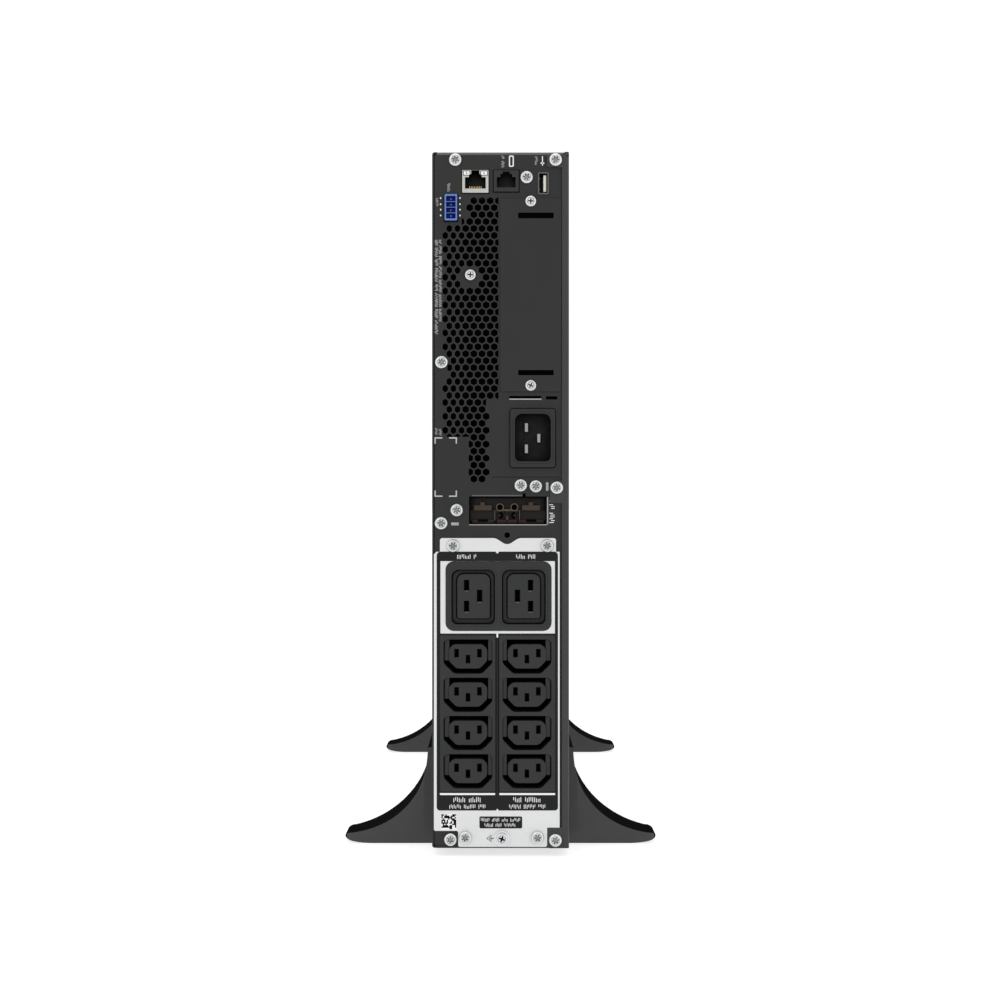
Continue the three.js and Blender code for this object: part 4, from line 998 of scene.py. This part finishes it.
def pilot(px, face):
    """A capped pilot contact over an open one with a pin in it."""
    pin = turned(PIN, 16, FROM_REAR, (px, PILOT_Z))
    pin.transform(Matrix.Translation((0, (face - 0.2) * MM, 0)))
    cap, hole, collar, mouth = (circle(px, z, radius, 28) for z, radius in (
        (PILOT_CAP_Z, 2.5), (PILOT_CAP_Z, 1.8), (PILOT_Z, 3.0), (PILOT_Z, 2.3)))
    return [
        raised(RING, cap, face, 2.8, [hole], 0.25),
        raised(DEEP, circle(px, PILOT_CAP_Z, 2.0, 28), face, 0.5, back=-0.3),
        raised(BROWN, collar, face, 1.6, [mouth], 0.2),
        raised(DEEP, circle(px, PILOT_Z, 2.4, 28), face, 0.4, back=-0.2),
        (pin, RING),
    ]


def battery_socket():
    """Recessed socket: a blade mouth at each end, and two pairs of pilots between them."""
    x, (_, back), z = limits("dc_socket")
    face = back - SOCKET_DEPTH
    parts = [rear(BROWN, rounded(x, z, 0.8), face, back, edge=0.3)]
    for px in POWER_X:
        parts += power_mouth(px, face)
    for px in PILOT_X:
        parts += pilot(px, face)
    left, right = PILOT_X
    # Material, X, Z, height over the face and eased edge of each web and sill
    bars = (
        (RING, (left + 1.6, right - 1.6), (214.3, 215.2), 2.4, 0.15),
        (LEDGE, (left - 2.8, right + 2.8), (213.9, 214.6), 2.0, 0.15),
        (LEDGE, (3.2, 5.0), (207.6, 211.2), 2.0, 0.15),
        *((RING, around(px, 0.5), (208.4, 214.6), 2.4, 0.1) for px in (left - 3.2, right + 3.2)),
        *((PLUM, around(px, width), SILL_Z, 2.0, 0.2) for px, width in SILLS),
    )
    for paint, across, up, out, edge in bars:
        parts.append(raised(paint, box_ring(across, up), face, out, edge=edge))
    opening = rounded(x, z, 0.9, by=-0.2)
    parts.append(rear(DEEP, rounded(x, z, 1.2, by=0.5), REAR + 0.5, face + 1.0, [opening], 0.2))
    piece("external_battery_socket", parts, replaces=["dc_socket"])


# ---------- printed marks on the panel ----------
CORNER_MARK_X = (-41.0, -27.1)
CORNER_MARK_Z = (223.0, 259.9)
MARK_ARM = 4.9
MARK_RISE = 3.9
MARK_WIDTH = 0.75
# Middle, limits along Z and height of each column of small print
PANEL_TEXT = (
    (-37.4, (332, 382.5), 1.9),
    (-39.8, (324, 382.5), 2.1),
    (-32.1, (412.6, 418.0), 1.9),
    (1.4, (427.6, 434.8), 2.0),
    (22.2, (429.2, 434.2), 1.9),
    (-39.4, (403.5, 408.2), 1.6),
    (-40.0, (261.8, 266.0), 1.7),
    (-37.4, (261.2, 266.4), 1.7),
)
SOCKET_TEXT = (31.9, (206.8, 221.0), 3.3)
TICK_X = ((-37.6, -36.8), (-25.6, -24.8))
TICK_Z = (408.4, 404.6, 401.2, 397.6)
PORT_MARK = ((5.2, 8.2), (427.8, 434.8))
STEM = ((25.7, 26.3), (428.6, 434.4))
ARMS = ((24.9, 27.1), (429.6, 430.5))


def corner_marks():
    """Four white corners that show where a small label goes."""
    rings = []
    for x, dx in zip(CORNER_MARK_X, (1, -1)):
        for z, dz in zip(CORNER_MARK_Z, (1, -1)):
            arm = sorted((x, x + dx * MARK_ARM)), sorted((z, z + dz * MARK_WIDTH))
            rise = sorted((x, x + dx * MARK_WIDTH)), sorted((z + dz * MARK_WIDTH, z + dz * MARK_RISE))
            rings += [box_ring(*arm), box_ring(*rise)]
    return rings


def turned_bars(x, z_span, width, seed):
    """A column of strokes, for print that runs up the panel."""
    bars = text_bars(mid(z_span), x, z_span[1] - z_span[0], width, seed)
    return [[(b, a) for a, b in ring] for ring in bars]


def panel_marks():
    """Corner marks, small print, ticks by the terminal header and a plain mark over two of the ports."""
    thin = corner_marks()
    for number, column in enumerate(PANEL_TEXT, 11):
        thin += turned_bars(*column, number)
    bright = [*turned_bars(*SOCKET_TEXT, 14), rounded(*PORT_MARK, 0.8)]
    bright += [box_ring(x, around(z, 1.0)) for z in TICK_Z for x in TICK_X]
    bright += [box_ring(*STEM), box_ring(*ARMS)]
    y = REAR - SKIN
    parts = [rear(PRINT, ring, y, y + INK) for ring in bright]
    parts += [rear(THIN_PRINT, ring, y, y + INK) for ring in thin]
    parts.append(rear(PAINT, rounded((5.9, 7.5), (428.5, 434.1), 0.5), y - 0.03, y + 0.01))
    piece("panel_print", parts)


CODE_CELLS = 11  # to a side of the sticker
CODE_CELL = 0.84
CODE_CORNER = (-36.7, 16.95)
CODE_FILL = 0.62
EARTH_X, EARTH_Z = -6.0, 11.2


def plate_labels():
    """Plain dark rating label, a patterned sticker with no code in it, and the earth symbol."""
    y = PLATE_FACE - SKIN
    parts = [rear(OVERLAY, rounded((-13.1, 13.4), (17.4, 24.8), 0.9), y - INK, y)]
    for z, length, seed in ((22.7, 24.5, 21), (19.5, 20.0, 22)):
        parts += [rear(PRINT, bar, y - 0.09, y - 0.05) for bar in text_bars(0.1, z, length, 2.3, seed)]
    parts.append(rear(PRINT, rounded((-37.1, -26.9), (16.5, 26.6), 0.5), y - INK, y))
    dice = random.Random(5)
    for cell in range(CODE_CELLS**2):
        if dice.random() < CODE_FILL:
            row, column = divmod(cell, CODE_CELLS)
            x, z = CODE_CORNER[0] + column * CODE_CELL, CODE_CORNER[1] + row * CODE_CELL
            parts.append(rear(DEEP, box_ring((x, x + CODE_CELL), (z, z + CODE_CELL)), y - 0.08, y - 0.05))
    bars = [(around(EARTH_X - i * 1.1, 0.45), height) for i, height in enumerate((4.6, 3.0, 1.5))]
    for bar_x, height in (*bars, ((EARTH_X + 0.2, EARTH_X + 1.8), 0.45)):
        parts.append(rear(DEEP, box_ring(bar_x, around(EARTH_Z, height)), y, y + INK))
    piece("plate_print", parts)


# ---------- tower feet ----------
SWEEP_STEPS = 26
SWEEP = ((46.9, 61.4), (46.9, 31.0), (66.0, 11.2), (95.0, 7.0))  # X and Z of its Bezier points
TIP_X = 100.2
TIP_Z = 4.6
TIP_R = TIP_X - SWEEP[-1][0]
TIP_SHARES = (0.3, 0.55, 0.75, 0.9, 0.98, 1.0)
TIP_DEPTH = 33.0
FOOT_DEPTH = 80.0
FOOT_TOP = 62.0
CREST_X = 45.3  # the flat crest along the chassis ends here
WAIST = (76.0, 44.0)  # X and depth of the middle point of the far edge's curve
SOLE_CURL = 18.0  # how far from the tip the sole starts to rise
FOOT_SIDE = 42.8
FOOT_EASE = 0.8


def quarter(t):
    """Rise of a quarter circle from 0 to 1 as t goes from 0 to 1."""
    return 1 - math.sqrt(max(0.0, 1 - t * t))


def sweep(t):
    a, b, c, d = (Vector(p) for p in SWEEP)
    return a * (1 - t) ** 3 + b * 3 * t * (1 - t) ** 2 + c * 3 * t**2 * (1 - t) + d * t**3


def foot_depth(x):
    """Depth of a foot from its flat back, at a distance from the middle plane."""
    start, end = SWEEP[-1][0], SWEEP[0][0]
    if x >= start:
        return TIP_DEPTH - TIP_R * quarter((x - start) / TIP_R)
    if x <= end:
        return FOOT_DEPTH
    bow = start - 2 * WAIST[0] + end
    lean = 2 * (WAIST[0] - start)
    t = (-lean - math.sqrt(lean * lean - 4 * bow * (start - x))) / (2 * bow)
    return TIP_DEPTH * (1 - t) ** 2 + WAIST[1] * 2 * t * (1 - t) + FOOT_DEPTH * t * t


def foot_stations():
    """(x, bottom, top) from the chassis to the tip."""
    tops = [(FOOT_SIDE, FOOT_TOP), (CREST_X, FOOT_TOP)]
    tops += [sweep(i / SWEEP_STEPS) for i in range(SWEEP_STEPS + 1)]
    end_x, end_z = SWEEP[-1]
    tops += [(end_x + TIP_R * share, end_z - (end_z - TIP_Z) * quarter(share)) for share in TIP_SHARES]
    curl = TIP_X - SOLE_CURL
    return [(x, 0.9 * TIP_Z * quarter(max(0.0, (x - curl) / SOLE_CURL)), top) for x, top in tops]


def foot_ring(side, x, bottom, top, near):
    """Section of a foot across X: a rectangle with eased corners."""
    corner = TIP_R * quarter(max(0.0, (x - TIP_X + TIP_R) / TIP_R))
    ease = min(FOOT_EASE, (top - bottom) / 2.2)
    flat = rounded((near + corner, near + foot_depth(x)), (bottom, top), ease, min(ease, 0.4), steps=4)
    return [(side * x, y, z) for y, z in flat]


def foot(node, side):
    """One stabiliser: a web whose sweep along its top is coloured near black as painted shade, and a sole
    that runs under the chassis.
    """
    _, (near, far), _ = limits(node)
    skin = lofted([foot_ring(side, *station, near) for station in foot_stations()])
    sole_x, pad_x = (sorted((side * a, side * b)) for a, b in ((0.4, FOOT_SIDE + 4), (60, 84)))
    sole = slab(box_ring(sole_x, (near + 1.5, far - 1.5)), 0.05, 4.6, edge=0.5, side=FROM_TOP)
    pad = slab(rounded(pad_x, (near + 5, near + 28), 4), 0, 0.35, edge=0.1, side=FROM_TOP)
    obj = piece(f"{node}_moulding", [(skin, FOOT), (sole, FOOT), (pad, BLACK)], replaces=[node])
    obj.data.materials.append(FOOT_TOP_SHADE)
    # Faces of the sweep that look up get the near-black material: painted shade
    for polygon in obj.data.polygons:
        outside = abs(polygon.center.x) / MM > FOOT_SIDE + 0.2
        if outside and abs(polygon.normal.y) < 0.6 and polygon.normal.z > -0.3:
            polygon.material_index = len(obj.data.materials) - 1


# ---------- chassis shell and what is fixed in it ----------
EAR_HOLE_R = 2.25
EAR_HOLES = [(x, y) for y in (225, 245, 265) for x in (-22, 22)]


def chassis_tray():
    """Folded sheet: the left wall with both its bends, and a roof and a floor with the rack ears' holes."""
    left, right = TRAY_X
    fold = left + 3
    low, high = BOTTOM + TRAY_BEND, TOP - TRAY_BEND
    middle = left + TRAY_BEND
    inner = TRAY_BEND - SHEET
    outline = [
        (fold, TOP), *arc(middle, high, TRAY_BEND, 90, 180, 8), *arc(middle, low, TRAY_BEND, 180, 270, 8),
        (fold, BOTTOM), (fold, BOTTOM + SHEET), *arc(middle, low, inner, 270, 180, 4),
        *arc(middle, high, inner, 180, 90, 4), (fold, TOP - SHEET),
    ]
    holes = [circle(x, y, EAR_HOLE_R, 24) for x, y in EAR_HOLES]
    roof = box_ring((fold, right), (REAR + TRAY_BEND, CHASSIS_FRONT))
    floor = box_ring((fold, right), (REAR, CHASSIS_FRONT))
    # The roof's rolled rear edge gets the paler bend paint: a painted highlight
    roll = arc(REAR + TRAY_BEND, high, TRAY_BEND, 90, 180, 8) + arc(REAR + TRAY_BEND, high, inner, 180, 90, 4)
    parts = [
        rear(PAINT, outline, REAR, CHASSIS_FRONT, edge=0.4, steps=3),
        (slab(roof, TOP - SHEET, TOP, holes, side=FROM_TOP), PAINT),
        (slab(floor, BOTTOM, BOTTOM + SHEET, holes, side=FROM_TOP), PAINT),
        (slab(roll, fold, CAP_X - 0.6, side=FROM_RIGHT), BEND_HIGHLIGHT_PAINT),
    ]
    piece("chassis_tray_sheet", parts, replaces=["chassis_tray"])


FILTER_BOX = ((-40.5, 2.6), (231.5, 408.5))
FILTER_GAP = 11  # behind the panel's inner face
FAN_PLATE = ((-40.9, 40.9), (231.0, 434.0))
FAN_BORE = 37.5


def vent_filter():
    """Open foam behind the vent."""
    near = PANEL_INNER + FILTER_GAP
    piece("vent_filter_pad", [rear(FILTER, box_ring(*FILTER_BOX), near, near + 3, edge=0.4)])


def fan_plate():
    """The sheet that both fans are fixed to."""
    holes = []
    for fan in ("fan_housing_lower", "fan_housing_upper"):
        x, (_, back), z = limits(fan)
        holes.append(circle(mid(x), mid(z), FAN_BORE, 48))
    plate = rear(BLACK, box_ring(*FAN_PLATE), back + 0.2, back + 1.2, holes)
    piece("fan_mounting_plate", [plate])


SIDE_SCREW_R = 2.9
SIDE_SCREW_Z = (22, 130, 312, 420)
SIDE_SCREW_Y = (-296, -92, 112, 268)
LEFT_SCREWS = ((-300, 64), (-300, 248), (-300, 408), (-120, 229.6), (60, 229.6), (240, 229.6), (276, 46),
               (276, 396))


def flush_screw(name, side, across, up, outward):
    """Countersunk screw, flush with a flat wall."""
    recess = [(across + px, up + pz) for px, pz in star(1.5, 0.95)]
    sink, head, floor = (circle(across, up, radius) for radius in (SIDE_SCREW_R + 0.5, SIDE_SCREW_R, 1.7))
    parts = [
        (slab(sink, outward - 0.05, outward + 0.04, edge=0.02, side=side), DEEP),
        (slab(head, outward - 0.6, outward + 0.12, [recess], 0.1, side), SCREW),
        (slab(floor, outward - 0.5, outward + 0.06, side=side), SCREW_DARK),
    ]
    piece(name, parts)


def side_screws():
    """Screws along the edges of the cover, and on the tray's wall."""
    ends = [(y, z) for y in SIDE_SCREW_Y for z in SIDE_SCREW_Z
            if y in (SIDE_SCREW_Y[0], SIDE_SCREW_Y[-1]) or z in (SIDE_SCREW_Z[0], SIDE_SCREW_Z[-1])]
    places = [(FROM_RIGHT, y, z, COVER_X[1]) for y, z in ends]
    places += [(FROM_LEFT, -y, z, -TRAY_X[0]) for y, z in LEFT_SCREWS]
    for number, place in enumerate(places, 1):
        flush_screw(f"side_screw_{number}", *place)


# ---------- bezel and display ----------
BEZEL_X, (_, BEZEL_FRONT), _ = limits("front_bezel")
_, (_, DISPLAY_FACE), DISPLAY_Z = limits("display_housing")
LENS_X, LENS_Y, LENS_Z = limits("display_lens")
BUTTONS = ("power_button", "escape_button", "up_button", "down_button", "enter_button")
SEGMENT_X = ((-19, -12), (12, 19))
SEGMENT_Z = 362
WAVE_Z = 374


def display():
    """Raised frame round the lens, and the lens with bars, a wave and two lines of strokes on it."""
    opening = rounded(LENS_X, LENS_Z, 2.0, by=0.2)
    rim = front(BUTTON, rounded(LENS_X, LENS_Z, 3.2, by=1.8), DISPLAY_FACE - 0.2, DISPLAY_FACE + 0.9,
                [opening], 0.3, 3)
    piece("display_rim", [rim])
    marks = [rounded(x, shifted((0, 3.8), SEGMENT_Z + i * 5.2), 0.5) for i in range(5) for x in SEGMENT_X]
    marks += text_bars(0, 391.5, 18, 3.0, 31) + text_bars(0, 385.5, 14, 2.0, 32)
    wave = [(x, WAVE_Z + 5.5 * math.sin(x / 9 * math.pi)) for x in range(-9, 10)]
    marks.append(wave + [(x, z - 0.9) for x, z in reversed(wave)])
    y = LENS_Y[1] + 0.02
    parts = [front(LENS, rounded(LENS_X, LENS_Z, 1.6), *LENS_Y, edge=0.25, steps=3)]
    parts += [front(SEGMENT, mark, y, y + 0.03) for mark in marks]
    piece("display_lens_window", parts, replaces=["display_lens"])


def pointer(up):
    return [[(-1.4, -0.8 * up), (0, 1.2 * up), (1.4, -0.8 * up)]]


# Plain symbol of each button, about its own centre: ring and bar, arrow, two pointers, ring
BUTTON_MARKS = (
    [arc(0, 0, 1.75, 125, 415, 16) + arc(0, 0, 1.35, 415, 125, 16), box_ring((-0.22, 0.22), (0.3, 2.1))],
    [[(-1.5, 0), (0, 1.3), (0, 0.4), (1.5, 0.4), (1.5, -0.4), (0, -0.4), (0, -1.3)]],
    pointer(1),
    pointer(-1),
    [arc(0, 0, 1.5, 0, 340, 18) + arc(0, 0, 1.05, 340, 0, 18)],
)
DOME_EDGE = 0.7
DOME_RISE = 0.55
MARK_SINK = 0.16


def buttons():
    """Domed keys with a symbol each. They travel with their own bodies."""
    for node, symbol in zip(BUTTONS, BUTTON_MARKS):
        x, (back, face), z = limits(node)
        cx, cz, radius = mid(x), mid(z), (z[1] - z[0]) / 2
        rim, low = radius - DOME_EDGE, face - DOME_EDGE
        dome = [(0, back), (radius, back), (radius, low)]
        dome += [spot(rim, low, DOME_EDGE, angle, DOME_RISE) for angle in (20, 45, 70, 90)]
        dome += [(radius * 0.5, face - 0.25), (0, face - 0.3)]
        parts = [(turned(dome, 40, FROM_FRONT, (-cx, cz)), BUTTON)]
        y = face - MARK_SINK
        for mark in symbol:
            placed = [(cx + px, cz + pz) for px, pz in mark]
            parts.append(front(PRINT, placed, y - 0.1, y + 0.02))
        piece(f"{node}_cap", parts, body=node, replaces=[node])
        outer, inner = (circle(cx, cz, radius + gap, 40) for gap in (1.1, 0.45))
        ring = front(BLACK, outer, DISPLAY_FACE - 0.1, DISPLAY_FACE + 0.35, [inner], 0.15)
        piece(f"{node}_surround", [ring])


GRILLE_X = 32.0
LOUVRE_FIRST = 30.0
LOUVRE_PITCH = 17.0
LOUVRE_COUNT = 17
LOUVRE_OPEN = 6.0
LIP_R = 0.9
LIP_STEPS = 24


def bezel_front_y(x):
    """The crowned front of the bezel, as its CAD plan has it."""
    edge = BEZEL_FRONT - 6.0 + 0.8
    half = (BEZEL_X[1] - BEZEL_X[0]) / 2 - 3
    t = (x + half) / (2 * half)
    return edge * (t**2 + (1 - t) ** 2) + (2 * BEZEL_FRONT - edge) * 2 * t * (1 - t) - 0.15


def louvre_lips():
    """A raised, rounded lip over and under each louvre, following the bezel's crown."""
    lows = [LOUVRE_FIRST + i * LOUVRE_PITCH for i in range(LOUVRE_COUNT)]
    edges = []
    for low in lows:
        if low + LOUVRE_OPEN <= DISPLAY_Z[0] - 4:
            edges += [low + LOUVRE_OPEN + 0.8, low - 0.8]
    parts = []
    for z in edges:
        rings = []
        for k in range(LIP_STEPS + 1):
            x = (GRILLE_X + 1) * (2 * k / LIP_STEPS - 1)
            reach = LIP_R + 0.55 * min(1, 6 * min(k, LIP_STEPS - k) / LIP_STEPS)
            section = arc(bezel_front_y(x) - LIP_R, z, reach, 0, 330, 11, rise=LIP_R)
            rings.append([(x, y, height) for y, height in section])
        parts.append((lofted(rings), BEZEL))
    piece("bezel_louvre_lips", parts, body="front_bezel")


# ---------- battery module ----------
HANDLE_BEND = 8
HANDLE_R = (7.5, 4.6)  # half its width and half its thickness
ARROW = ((-4, 17), (4, 17), (4, 8), (8, 8), (0, 0), (-8, 8), (-4, 8))


def battery_handle():
    """A rounded bow with a foot at each end."""
    _, (root, tip), z = limits("battery_handle")
    z0, z1 = grown(z, -5)
    bow = tip - 6 - HANDLE_BEND
    path = [Vector(p) for p in (
        (root, z0), (bow, z0), *arc(bow, z0 + HANDLE_BEND, HANDLE_BEND, -75, 0, 5),
        *arc(bow, z1 - HANDLE_BEND, HANDLE_BEND, 0, 90, 6), (root, z1))]
    across, deep = HANDLE_R
    rings = []
    for before, here, after in zip(path[:1] + path, path, path[1:] + path[-1:]):
        ahead = (after - before).normalized()
        normal = Vector((-ahead.y, ahead.x)) * deep
        rings.append([(across * c, *(here + normal * s)) for c, s in circle(0, 0, 1, 18)])
    parts = [(lofted(rings), BLACK)]
    for foot_z in (z0 + 2, z1 - 2):
        parts.append(front(BLACK, rounded((-9, 9), around(foot_z, 14), 3), root, root + 3, edge=0.6, steps=3))
    piece("battery_pull_handle", parts, body="battery_module", replaces=["battery_handle"])


def battery_label():
    """A pale label with an arrow and two lines of strokes."""
    face = limits("battery_tray")[1][1]
    parts = [front(LABEL, rounded((-30, 30), (180, 212), 2), face + 0.02, face + 0.12, edge=0.03)]
    marks = [[(px, pz + 186) for px, pz in ARROW]]
    marks += text_bars(-18, 200, 12, 2, 41) + text_bars(18, 200, 12, 2, 42)
    parts += [front(BLACK, mark, face + 0.13, face + 0.17) for mark in marks]
    piece("battery_front_label", parts, body="battery_module")


# ---------- CAD pieces kept as they are ----------
# Material, width and steps of the eased edges, and the nodes
EASED = (
    (BEZEL, 0.45, 2, ("front_bezel",)),
    (BLACK, 0.5, 3, ("display_housing",)),
    (BUTTON, 0.5, 3, ("bezel_latch_upper", "bezel_latch_lower")),
    (BLADE, 0.3, 2, BLADE_NODES),
    (ZINC, 0.2, 2, ("front_frame", "bay_divider", "battery_tray")),
    (BLACK, 0.4, 2, ("battery_plug", "bay_socket", "fan_housing_lower", "fan_housing_upper")),
    (DEEP, 0.3, 2, ("fan_rotor_lower", "fan_rotor_upper")),
    (BOARD, 0.2, 2, ("main_board", "outlet_board", "comms_board")),
    (ALUMINIUM, 0.2, 2, ("heatsink_rear", "heatsink_front")),
    (SLEEVE, 0.5, 2, ("bus_capacitor_1", "bus_capacitor_2")),
    (VARNISH, 0.8, 2, ("power_transformer",)),
    (CASE, 0.8, 2, [f"battery_block_{number}" for number in range(1, 9)]),
)


def eased_nodes():
    for material, width, segments, names in EASED:
        for name in names:
            bevel = nodes[name].modifiers.new("eased edges", "BEVEL")
            bevel.width = width * MM
            bevel.segments = segments
            bevel.limit_method = "ANGLE"
            bevel.angle_limit = math.radians(40)
            bevel.harden_normals = False
            nodes[name].data.materials.clear()
            nodes[name].data.materials.append(material)


# ---------- studio ----------
VIEW_DISTANCE = 1200.0
LENS_LENGTH = 69.6
EYE_HEIGHT = 221.0
EYE_ACROSS = -0.35
FLOOR_REACH = 40  # metres
# Name, place, target, size and power of each softbox, in metres and watts
SOFTBOXES = (
    ("key", (-1.3, -1.9, 1.5), (0, -0.2, 0.2), (0.9, 0.9), 3.5),
    ("fill", (1.6, -1.6, 1.0), (0, -0.2, 0.2), (1.0, 1.0), 2),
    ("top", (0.0, 0.0, 2.2), (0, 0, 0.2), (1.4, 1.8), 6),
)


def shown(name, data):
    obj = bpy.data.objects.new(name, data)
    bpy.context.scene.collection.objects.link(obj)
    return obj


def studio():
    floor = bpy.data.meshes.new("floor")
    far = FLOOR_REACH
    floor.from_pydata([(-far, -far, 0), (far, -far, 0), (far, far, 0), (-far, far, 0)], [], [(0, 1, 2, 3)])
    floor.materials.append(PALE_FLOOR)
    shown("floor", floor)

    world = bpy.data.worlds.new("studio")
    bpy.context.scene.world = world
    world.use_nodes = True
    back = world.node_tree.nodes["Background"]
    back.inputs["Color"].default_value = (1, 1, 1, 1)
    back.inputs["Strength"].default_value = 1.05

    for name, place, target, size, power in SOFTBOXES:
        light = bpy.data.lights.new(name, "AREA")
        light.shape = "RECTANGLE"
        light.size, light.size_y = size
        light.energy = power
        obj = shown(name, light)
        obj.location = place
        obj.rotation_euler = (Vector(target) - Vector(place)).to_track_quat("-Z", "Y").to_euler()

    camera = bpy.data.cameras.new("camera")
    camera.lens = LENS_LENGTH
    camera.sensor_width = 36.0
    camera.clip_end = 100
    eye = shown("camera", camera)
    eye.location = (EYE_ACROSS * MM, (REAR - VIEW_DISTANCE) * MM, EYE_HEIGHT * MM)
    eye.rotation_euler = (math.pi / 2, 0, 0)
    bpy.context.scene.camera = eye
    bpy.context.scene.view_settings.view_transform = "Standard"


studio()
rear_panel()
slot_cover()
side_cover()
outlet_plate()
for bank in C13_CENTRES:
    c13_bank(bank)
c19_pair()
mains_inlet()
jack("network_socket", "network_jack", TIN, BLACK, 12.8, 7.0, OPEN_LATCH, True)
jack("serial_socket", "serial_jack", OUTLET, BLACK, 11.6, 6.4, LATCH_STEPS, False)
usb_port()
epo_terminal()
battery_socket()
panel_marks()
plate_labels()
all_screws()
for foot_node in ("foot_rear_left", "foot_front_left"):
    foot(foot_node, -1)
for foot_node in ("foot_rear_right", "foot_front_right"):
    foot(foot_node, 1)
chassis_tray()
fan_plate()
vent_filter()
side_screws()
display()
buttons()
louvre_lips()
battery_handle()
battery_label()
eased_nodes()
